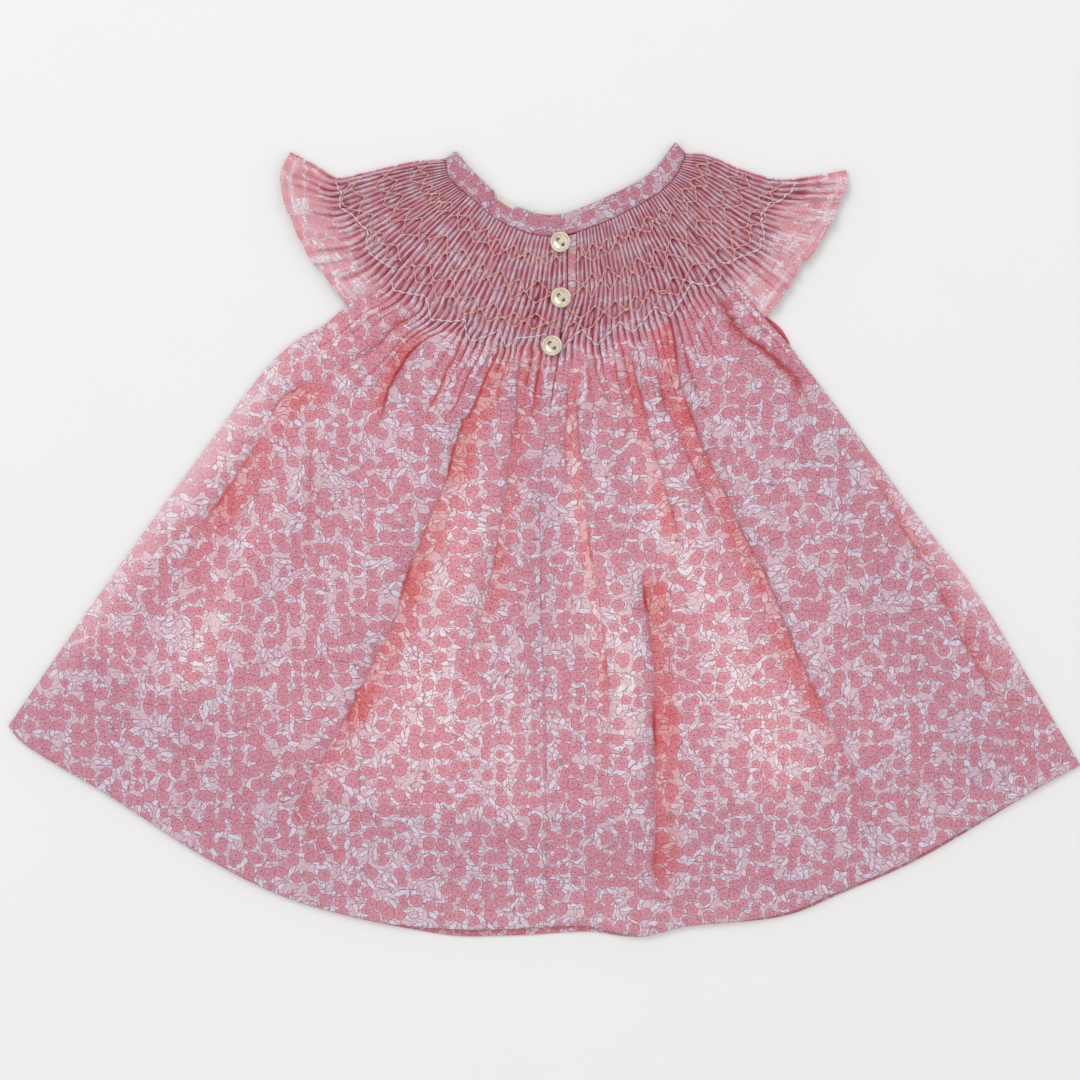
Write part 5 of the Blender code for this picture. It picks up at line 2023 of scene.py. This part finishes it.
@dataclass
class Neckband:
    """One part of the neckband, a strip folded double from the smocking to the neck's free edge, in
    millimetres.
    """

    first: float
    last: float
    print_shift: float
    print_row: float = 207.0
    base: float = 2.4
    wall: float = 1.3
    reach: float = 1.0
    crown: float = 0.3
    width: float = 11.5
    columns: int = 150
    rows: int = 18
    edge_radius: float = 1.3
    end_radius: float = 0.2
    stitching: float = 1.5
    puckers: float = 62.0
    overhang: float = 0.45
    label_from: float = 0.218
    label_to: float = 0.306
    label_dip: float = 0.0

    def cloth(self) -> Sheet:
        """The band's cloth."""
        shares = np.linspace(self.first, self.last, self.columns + 1)[:, None]
        across = crowded(self.rows)[None, :]
        low = -self.overhang / self.width
        under = ramp(self.label_from - 0.012, self.label_from + 0.006, shares)
        under = under * ramp(self.label_to + 0.012, self.label_to - 0.006, shares)
        high = self.reach - self.label_dip * under
        rise = low + (high - low) * across
        place = NECK(shares) * (1 - rise[..., None]) + NECK_EDGE(shares) * rise[..., None]
        from_seam = (rise - low) * self.width
        from_edge = (high - rise) * self.width
        from_end = np.minimum(shares, 1 - shares) * NECK.length
        edge = rounded(np.minimum(2.2 * from_seam, from_edge), self.edge_radius)
        edge = np.minimum(edge, rounded(from_end, self.end_radius))
        sewn = bell((from_seam - self.stitching) / 0.4) + bell((from_edge - self.stitching) / 0.4)
        turn = shares * self.puckers * 2 * math.pi
        pucker = np.sin(turn + 1.3 * np.sin(turn * 0.23)) * np.exp(-from_seam / 3.5)
        sway = np.sin(shares * 31 + 2.0 * rise) * np.sin(math.pi * (rise - low))
        top = self.wall * (0.25 + 0.75 * edge) + self.crown * np.sin(math.pi * across) * edge
        top = top - 0.16 * sewn + 0.09 * pucker * edge + 0.07 * sway
        outer = np.dstack([place, self.base + np.clip(top, 0.3, self.wall + 2 * self.crown)])
        inner = np.dstack([place, np.full(rise.shape, self.base)])
        printed_along = shares * NECK.length + self.print_shift + 0 * rise
        printed = np.dstack([printed_along, rise * self.width + self.print_row])
        # Painted shade at the seam and along the stitching, over an even darker tint, and a painted highlight
        # along the folded top edge.
        valley = 0.22 * np.exp(-from_seam / 0.3) + 0.05 * sewn + 0.13
        marks = marked(valley=valley, strip=0.05, glow=0.25 * np.exp(-from_edge), doubled=1.0)
        return Sheet(outer, inner, printed, marks)


@dataclass
class Placket:
    """The bound strip down the opening, between the lapped edge and the other side's pleats, in millimetres."""

    end: float = 0.15
    inset: float = 0.10
    far_inset: float = 0.02
    foot: float = 0.5
    top: float = 1.9
    columns: int = 12
    rows: int = 70
    print_shift: tuple[float, float] = (133.0, 61.0)

    def cloth(self) -> Sheet:
        """The strip's cloth."""
        down = np.linspace(0.0035, self.end - 0.001, self.rows + 1)[None, :]
        share = np.linspace(0.0, 1.0, self.columns + 1)[:, None]
        width = BODY.width(down[0])[None, :]
        low = lap_edge(down) + self.inset / width
        high = np.maximum(strip_edge(down) - self.far_inset / width, low + 0.25 / width)
        across = low + (high - low) * share
        place = BODY(across, down + 0 * share)
        wide = (high - low) * width
        edge = np.minimum(rounded(share * wide, 0.6), 0.55 + 0.45 * rounded((1 - share) * wide, 1.2))
        sewn = bell(((1 - share) * wide - 1.2) / 0.35)
        height = BACK_BASE + self.foot + (self.top - self.foot) * edge - 0.15 * sewn
        outer = np.dstack([place, height + 0.06 * np.sin(down * 170 + share * 2)])
        inner = np.dstack([place, np.full(across.shape, BACK_BASE)])
        # Painted shade along both edges of the strip.
        valley = 0.35 * np.exp(-share * wide / 0.4) + 0.25 * np.exp(-(1 - share) * wide / 0.5)
        marks = marked(valley=np.clip(valley, 0, 1), strip=0.12, doubled=0.4)
        return Sheet(outer, inner, place + np.array(self.print_shift), marks)


@dataclass
class UnderarmBinding:
    """The armhole's bound edge, which loops out beside the right side seam, in millimetres."""

    reach: float = 0.05
    clearance: float = 0.4
    tip: float = 0.5
    width: float = 2.2
    height: float = 1.7
    upper_edge: float = 0.75
    lower_edge: float = 0.65
    columns: int = 44
    rows: int = 12

    def cloth(self) -> Sheet:
        """The binding's rounded crescent."""
        shares = np.linspace(0.0, 1.0, self.columns + 1)
        seam = RIGHT_SEAM(UNDERARM + self.reach * shares)
        along = heading(seam)
        outward = np.stack([-along[:, 1], along[:, 0]], axis=1)
        bulge = self.tip + (self.width - self.tip) * np.sin(math.pi * shares)
        across = crowded(self.rows)[None, :]
        place = seam[:, None] + outward[:, None] * (self.clearance + bulge[:, None] * across)[..., None]
        ends = rounded(np.minimum(shares, 1 - shares) * 20, 1.5)[:, None]
        crown = np.sqrt(np.maximum(1 - (2 * across - 1) ** 2, 0.0)) * ends
        outer = np.dstack([place, self.upper_edge + (self.height - self.upper_edge) * crown])
        inner = np.dstack([place, self.lower_edge - (self.lower_edge - 0.05) * crown])
        return Sheet(outer, inner, place)


def choose(piece: Piece) -> None:
    """Makes a piece the only one that is selected, and the active one."""
    bpy.ops.object.select_all(action="DESELECT")
    piece.select_set(True)
    bpy.context.view_layer.objects.active = piece


def select_faces(piece: Piece, chosen: Callable[[bpy.types.MeshPolygon], bool]) -> None:
    """Selects a mesh's faces by a test, from object mode."""
    for polygon in piece.data.polygons:
        polygon.select = chosen(polygon)


def start_piece(name: str) -> Piece:
    """Names the primitive that was just added and opens it in edit mode, all selected."""
    piece = bpy.context.object
    piece.name = piece.data.name = name
    bpy.ops.object.mode_set(mode="EDIT")
    bpy.ops.mesh.select_all(action="SELECT")
    return piece


def close_piece(piece: Piece, material: Material, angle: float) -> None:
    """Leaves edit mode, applies the piece's place, smooths its shading and gives it its finish.

    Args:
        piece: The active piece.
        material: Its finish.
        angle: Edges sharper than this stay sharp.
    """
    bpy.ops.mesh.select_all(action="SELECT")
    bpy.ops.mesh.normals_make_consistent(inside=False)
    bpy.ops.object.mode_set(mode="OBJECT")
    bpy.ops.object.transform_apply()
    bpy.ops.object.shade_smooth_by_angle(angle=angle)
    piece.data.materials.clear()
    piece.data.materials.append(material)


@dataclass
class NeckLabel:
    """The blank woven tape inside the back of the neck, in millimetres."""

    centre: Point = Point(-22.9, 181.6)
    width: float = 12.0
    height: float = 10.0
    thickness: float = 0.5
    turn: float = math.radians(-33.0)
    selvedge: float = 0.9
    folded: float = 0.12

    def build(self, name: str, material: Material) -> Piece:
        """The tape, with its raised selvedges."""
        bpy.ops.mesh.primitive_plane_add(size=1.0, location=(0, 0, 0))
        piece = start_piece(name)
        bpy.ops.transform.resize(value=(self.width * MM, self.height * MM, 1.0))
        bpy.ops.mesh.subdivide(number_cuts=15)
        bpy.ops.mesh.extrude_region_move(TRANSFORM_OT_translate={"value": (0, 0, self.thickness * MM)})
        bpy.ops.object.mode_set(mode="OBJECT")
        edge = (self.height / 2 - self.selvedge) * MM
        top = self.thickness * MM * 0.9
        select_faces(piece, lambda face: face.center.z > top and abs(face.center.y) > edge)
        bpy.ops.object.mode_set(mode="EDIT")
        bpy.ops.transform.translate(value=(0, 0, self.folded * MM))
        close_piece(piece, material, math.radians(50))
        piece.rotation_euler.z = self.turn
        piece.location = (self.centre.x * MM, self.centre.y * MM, BACK_BASE * MM)
        bpy.ops.object.transform_apply()
        return piece


@dataclass
class Buttons:
    """Dished two-hole shell buttons, in millimetres."""

    centres: tuple[tuple[str, Point], ...] = (
        ("button_top", Point(8.8, 163.2)),
        ("button_middle", Point(9.1, 132.7)),
        ("button_bottom", Point(4.2, 106.4)),
    )
    seat: float = BACK_BASE + WALL + PLEAT_RISE + GAP
    foot: float = 3.9
    profile: tuple[tuple[float, float], ...] = (
        (4.7, 0.22), (5.25, 0.6), (5.5, 0.95), (5.6, 1.35), (5.55, 1.8), (5.35, 2.14), (5.05, 2.34),
        (4.75, 2.4), (4.5, 2.3), (4.35, 2.1), (4.2, 1.95), (4.1, 1.86), (3.6, 1.65), (3.1, 1.49),
        (2.6, 1.35), (2.1, 1.28),
    )
    sides: int = 72
    hole_radius: float = 1.1
    hole_spacing: float = 3.7
    slant: float = math.radians(-45.0)
    thread_radius: float = 0.2
    sharpness: float = math.radians(40.0)

    def hole_place(self, side: int) -> Point:
        """Where a thread hole lies from the button's centre."""
        reach = side * self.hole_spacing / 2
        return Point(reach * math.cos(self.slant), reach * math.sin(self.slant))

    def bore(self, piece: Piece, side: int) -> None:
        """Cuts one thread hole."""
        place = self.hole_place(side)
        bpy.ops.mesh.primitive_cylinder_add(
            vertices=24, radius=self.hole_radius * MM, depth=8 * MM, location=(place.x * MM, place.y * MM, 0.0)
        )
        cutter = bpy.context.object
        cut = piece.modifiers.new("hole", "BOOLEAN")
        cut.operation = "DIFFERENCE"
        cut.solver = "EXACT"
        cut.object = cutter
        bpy.context.view_layer.objects.active = piece
        bpy.ops.object.modifier_apply(modifier=cut.name)
        bpy.data.objects.remove(cutter)

    def model(self, material: Material) -> Piece:
        """The button at the middle of the world: a disc drawn up ring by ring, then bored."""
        bpy.ops.mesh.primitive_circle_add(vertices=self.sides, radius=self.foot * MM, fill_type="NGON")
        piece = start_piece("shell_button")
        radius, height = self.foot, 0.0
        for next_radius, next_height in self.profile:
            rise = (0, 0, (next_height - height) * MM)
            bpy.ops.mesh.extrude_region_move(TRANSFORM_OT_translate={"value": rise})
            scale = next_radius / radius
            bpy.ops.transform.resize(value=(scale, scale, 1.0))
            radius, height = next_radius, next_height
        close_piece(piece, material, self.sharpness)
        for side in (-1, 1):
            self.bore(piece, side)
        choose(piece)
        bpy.ops.object.shade_smooth_by_angle(angle=self.sharpness)
        return piece

    def thread(self, name: str, centre: Point, material: Material) -> Piece:
        """The thread that passes down both holes and lies between them in the dish."""
        share = np.linspace(-1.0, 1.0, 15)
        paths = []
        for aside in (-0.2, 0.2):
            reach = share * self.hole_spacing / 2
            x = centre.x + reach * math.cos(self.slant) - aside * math.sin(self.slant)
            y = centre.y + reach * math.sin(self.slant) + aside * math.cos(self.slant)
            z = self.seat + 1.42 - 1.3 * np.abs(share) ** 6 + 0.05 * aside
            paths.append(np.stack([x, y, z], axis=1))
        return tubes(name, paths, [self.thread_radius] * 2, 6, material)

    def build(self, shell: Material, thread: Material) -> None:
        """Seats the three buttons and reports them."""
        pattern = self.model(shell)
        places = np.empty(len(pattern.data.vertices) * 3, np.float32)
        pattern.data.vertices.foreach_get("co", places)
        reach = np.hypot(places[0::3], places[1::3]) / MM
        give_print_map(pattern, np.stack([reach, 0 * reach], axis=1))
        pieces = [pattern]
        for _ in self.centres[1:]:
            piece = pattern.copy()
            piece.data = pattern.data.copy()
            bpy.context.scene.collection.objects.link(piece)
            pieces.append(piece)
        for piece, (node, centre) in zip(pieces, self.centres):
            piece.name = piece.data.name = f"{node}_shell"
            choose(piece)
            piece.location = (centre.x * MM, centre.y * MM, self.seat * MM)
            bpy.ops.object.transform_apply()
            settle(piece, [node])
            settle(self.thread(f"{node}_thread", centre, thread), [])


# The studio and the whole dress.


@dataclass
class Studio:
    """The paper, the lights and the camera straight above, in metres."""

    centre: Point = Point(-0.002365, -0.000275)
    framed: float = 0.594
    lens: float = 120.0
    sensor: float = 36.0
    paper: float = 6.0
    ambient: float = 0.80
    key_place: tuple[float, float, float] = (-1.2, 1.9, 2.4)
    key_size: float = 1.8
    key_energy: float = 24.0
    glint_place: tuple[float, float, float] = (1.15, 1.25, 2.5)
    glint_size: float = 2.2
    glint_energy: float = 55.0

    def lay_paper(self) -> None:
        """The paper that the dress lies on."""
        bpy.ops.mesh.primitive_plane_add(size=self.paper, location=(0, 0, -0.0002))
        paper = bpy.context.object
        paper.name = "paper"
        paper.data.materials.append(StudioPaper().material("studio_paper"))

    def light(self) -> None:
        """Even light from all round, a large soft lamp from the upper left and one that glints on buttons."""
        world = bpy.data.worlds.new("studio")
        world.use_nodes = True
        background = world.node_tree.nodes["Background"]
        background.inputs["Color"].default_value = (1.0, 0.995, 0.99, 1.0)
        background.inputs["Strength"].default_value = self.ambient
        bpy.context.scene.world = world
        key = self.lamp("key_light", self.key_place, self.key_size, self.key_energy)
        key.visible_glossy = False
        glint = self.lamp("glint_light", self.glint_place, self.glint_size, self.glint_energy)
        glint.visible_diffuse = False

    def lamp(self, name: str, place: tuple[float, float, float], size: float, energy: float) -> Piece:
        """A round lamp that faces the middle of the dress.

        Args:
            name: Its name.
            place: Where it hangs, in metres.
            size: How wide it is, in metres.
            energy: Its power in watts.

        Returns:
            The lamp.
        """
        bpy.ops.object.light_add(type="AREA", location=place)
        lamp = bpy.context.object
        lamp.name = name
        lamp.data.shape = "DISK"
        lamp.data.size = size
        lamp.data.energy = energy
        x, y, z = place
        lamp.rotation_euler = (math.atan2(math.hypot(x, y), z), 0.0, math.atan2(y, x) + math.pi / 2)
        return lamp

    def place_camera(self) -> None:
        """The camera, straight above the middle of the view."""
        height = self.framed * self.lens / self.sensor
        bpy.ops.object.camera_add(location=(self.centre.x, self.centre.y, height), rotation=(0, 0, 0))
        camera = bpy.context.object
        camera.name = "camera_above"
        camera.data.lens = self.lens
        camera.data.sensor_width = self.sensor
        camera.data.clip_end = 20.0
        bpy.context.scene.camera = camera
        bpy.context.scene.view_settings.view_transform = "Standard"


def settle(piece: Piece, nodes: Sequence[str]) -> None:
    """Makes a piece part of the dress and reports it.

    Args:
        piece: The piece.
        nodes: The solids that it stands for.
    """
    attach(piece, "root")
    if nodes:
        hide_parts(*nodes)
    log.info("%s: %d faces", piece.name, len(piece.data.polygons))


@dataclass(frozen=True)
class Finishes:
    """The materials, made once."""

    cotton: Material
    trellis: Material
    last_row: Material
    pearl: Material
    tape: Material
    binding: Material

    @classmethod
    def make(cls) -> "Finishes":
        """All of the dress's materials."""
        return cls(
            cotton=PrintedCotton().material("printed_cotton_lawn"),
            trellis=StitchThread(shade(242, 196, 184), shade(206, 134, 128)).material("peach_thread"),
            last_row=StitchThread(shade(240, 222, 230), shade(204, 168, 186)).material("pale_thread"),
            pearl=Pearl().material("shell_pearl"),
            tape=PlainCotton(shade(238, 232, 218), shade(214, 204, 190), 0.45).material("woven_tape"),
            binding=PlainCotton(shade(212, 90, 96), shade(176, 62, 72), 0.35).material("bound_edge"),
        )


@dataclass
class Dress:
    """The whole dress, from the bottom layer up."""

    finishes: Finishes

    def add(self, node: str, sheet: Sheet) -> Piece:
        """Makes a sheet of printed cloth part of the dress, in the place of one solid."""
        piece = sheet.build(f"{node}_cloth", self.finishes.cotton)
        settle(piece, [node])
        return piece

    def front(self) -> None:
        """The front panel and the front neckband, which lie under the back."""
        self.add("front", FrontPanel().cloth())
        band = Neckband(BAND_START, BAND_END, 517.0, base=0.0, reach=0.82, crown=0.0, overhang=-GAP)
        self.add("neckband_front", band.cloth())

    def backs(self) -> None:
        """The back panels with their smocking."""
        pleats = Pleating(PANEL_PLEATS, seed=3.0), Pleating(PANEL_PLEATS, seed=11.0)
        left = BackPanel(lambda down: 0 * down, lap_edge, 1, (0.0, 0.0), pleats[0])
        right = BackPanel(strip_edge, lambda down: 1 + 0 * down, -1, (17.3, 5.1), pleats[1])
        for node, panel, lead in (("back_left", left, no_strip), ("back_right", right, strip_in_pleats)):
            sheet = panel.cloth()
            piece = self.add(node, sheet)
            ends = (float(panel.first(STITCHED_DOWN)), float(panel.last(STITCHED_DOWN)))
            stitches = SmockingStitches(
                sheet, panel.down, panel.rows.length, panel.pleating, 0, BODY_LAST_ROW, ends, lead
            )
            self.stitch(stitches, node)

    def sleeves(self) -> None:
        """The two flutter sleeves with their smocking."""
        pleats = Pleating(SLEEVE_PLEATS, seed=5.0), Pleating(SLEEVE_PLEATS, seed=8.0)
        left = Sleeve(LEFT_SLEEVE, LEFT_EDGE_STEPS, LEFT_SLEEVE_LAST_ROW, (71.0, 33.0), pleats[0])
        right = Sleeve(RIGHT_SLEEVE, RIGHT_EDGE_STEPS, RIGHT_SLEEVE_LAST_ROW, (37.0, 84.0), pleats[1])
        for node, sleeve in (("sleeve_left", left), ("sleeve_right", right)):
            sheet = sleeve.cloth()
            piece = self.add(node, sheet)
            stitches = SmockingStitches(
                sheet, sleeve.down, sleeve.length, sleeve.pleating, sleeve.first_column, sleeve.stitched_to
            )
            self.stitch(stitches, node)

    def stitch(self, stitches: SmockingStitches, node: str) -> None:
        """Lays both colours of smocking over one sheet."""
        settle(stitches.build(f"{node}_trellis_stitches", Cord.TRELLIS, self.finishes.trellis), [])
        settle(stitches.build(f"{node}_last_stitches", Cord.LAST, self.finishes.last_row), [])

    def trimmings(self) -> None:
        """The placket, the back neckbands, the armhole binding, the label and the buttons."""
        bands = (
            ("neckband_back_left", Neckband(BAND_START, BAND_LAP, 311.0, label_dip=0.23), 0.090),
            ("neckband_back_right", Neckband(BAND_LAP, BAND_END, 311.0), 0.078),
        )
        for node, band, length in bands:
            piece = self.add(node, band.cloth())
        piece = self.add("placket", Placket().cloth())
        piece = UnderarmBinding().cloth().build("underarm_binding_loop", self.finishes.binding)
        settle(piece, ["underarm_binding_right"])
        piece = NeckLabel().build("neck_label", self.finishes.tape)
        settle(piece, ["label"])
        Buttons().build(self.finishes.pearl, self.finishes.tape)


def main() -> None:
    """Builds the studio and the dress."""
    logging.basicConfig(level=logging.INFO, format="%(name)s: %(message)s")
    studio = Studio()
    studio.place_camera()
    studio.lay_paper()
    studio.light()
    dress = Dress(Finishes.make())
    dress.front()
    dress.backs()
    dress.sleeves()
    dress.trimmings()


if __name__ == "__main__":
    main()
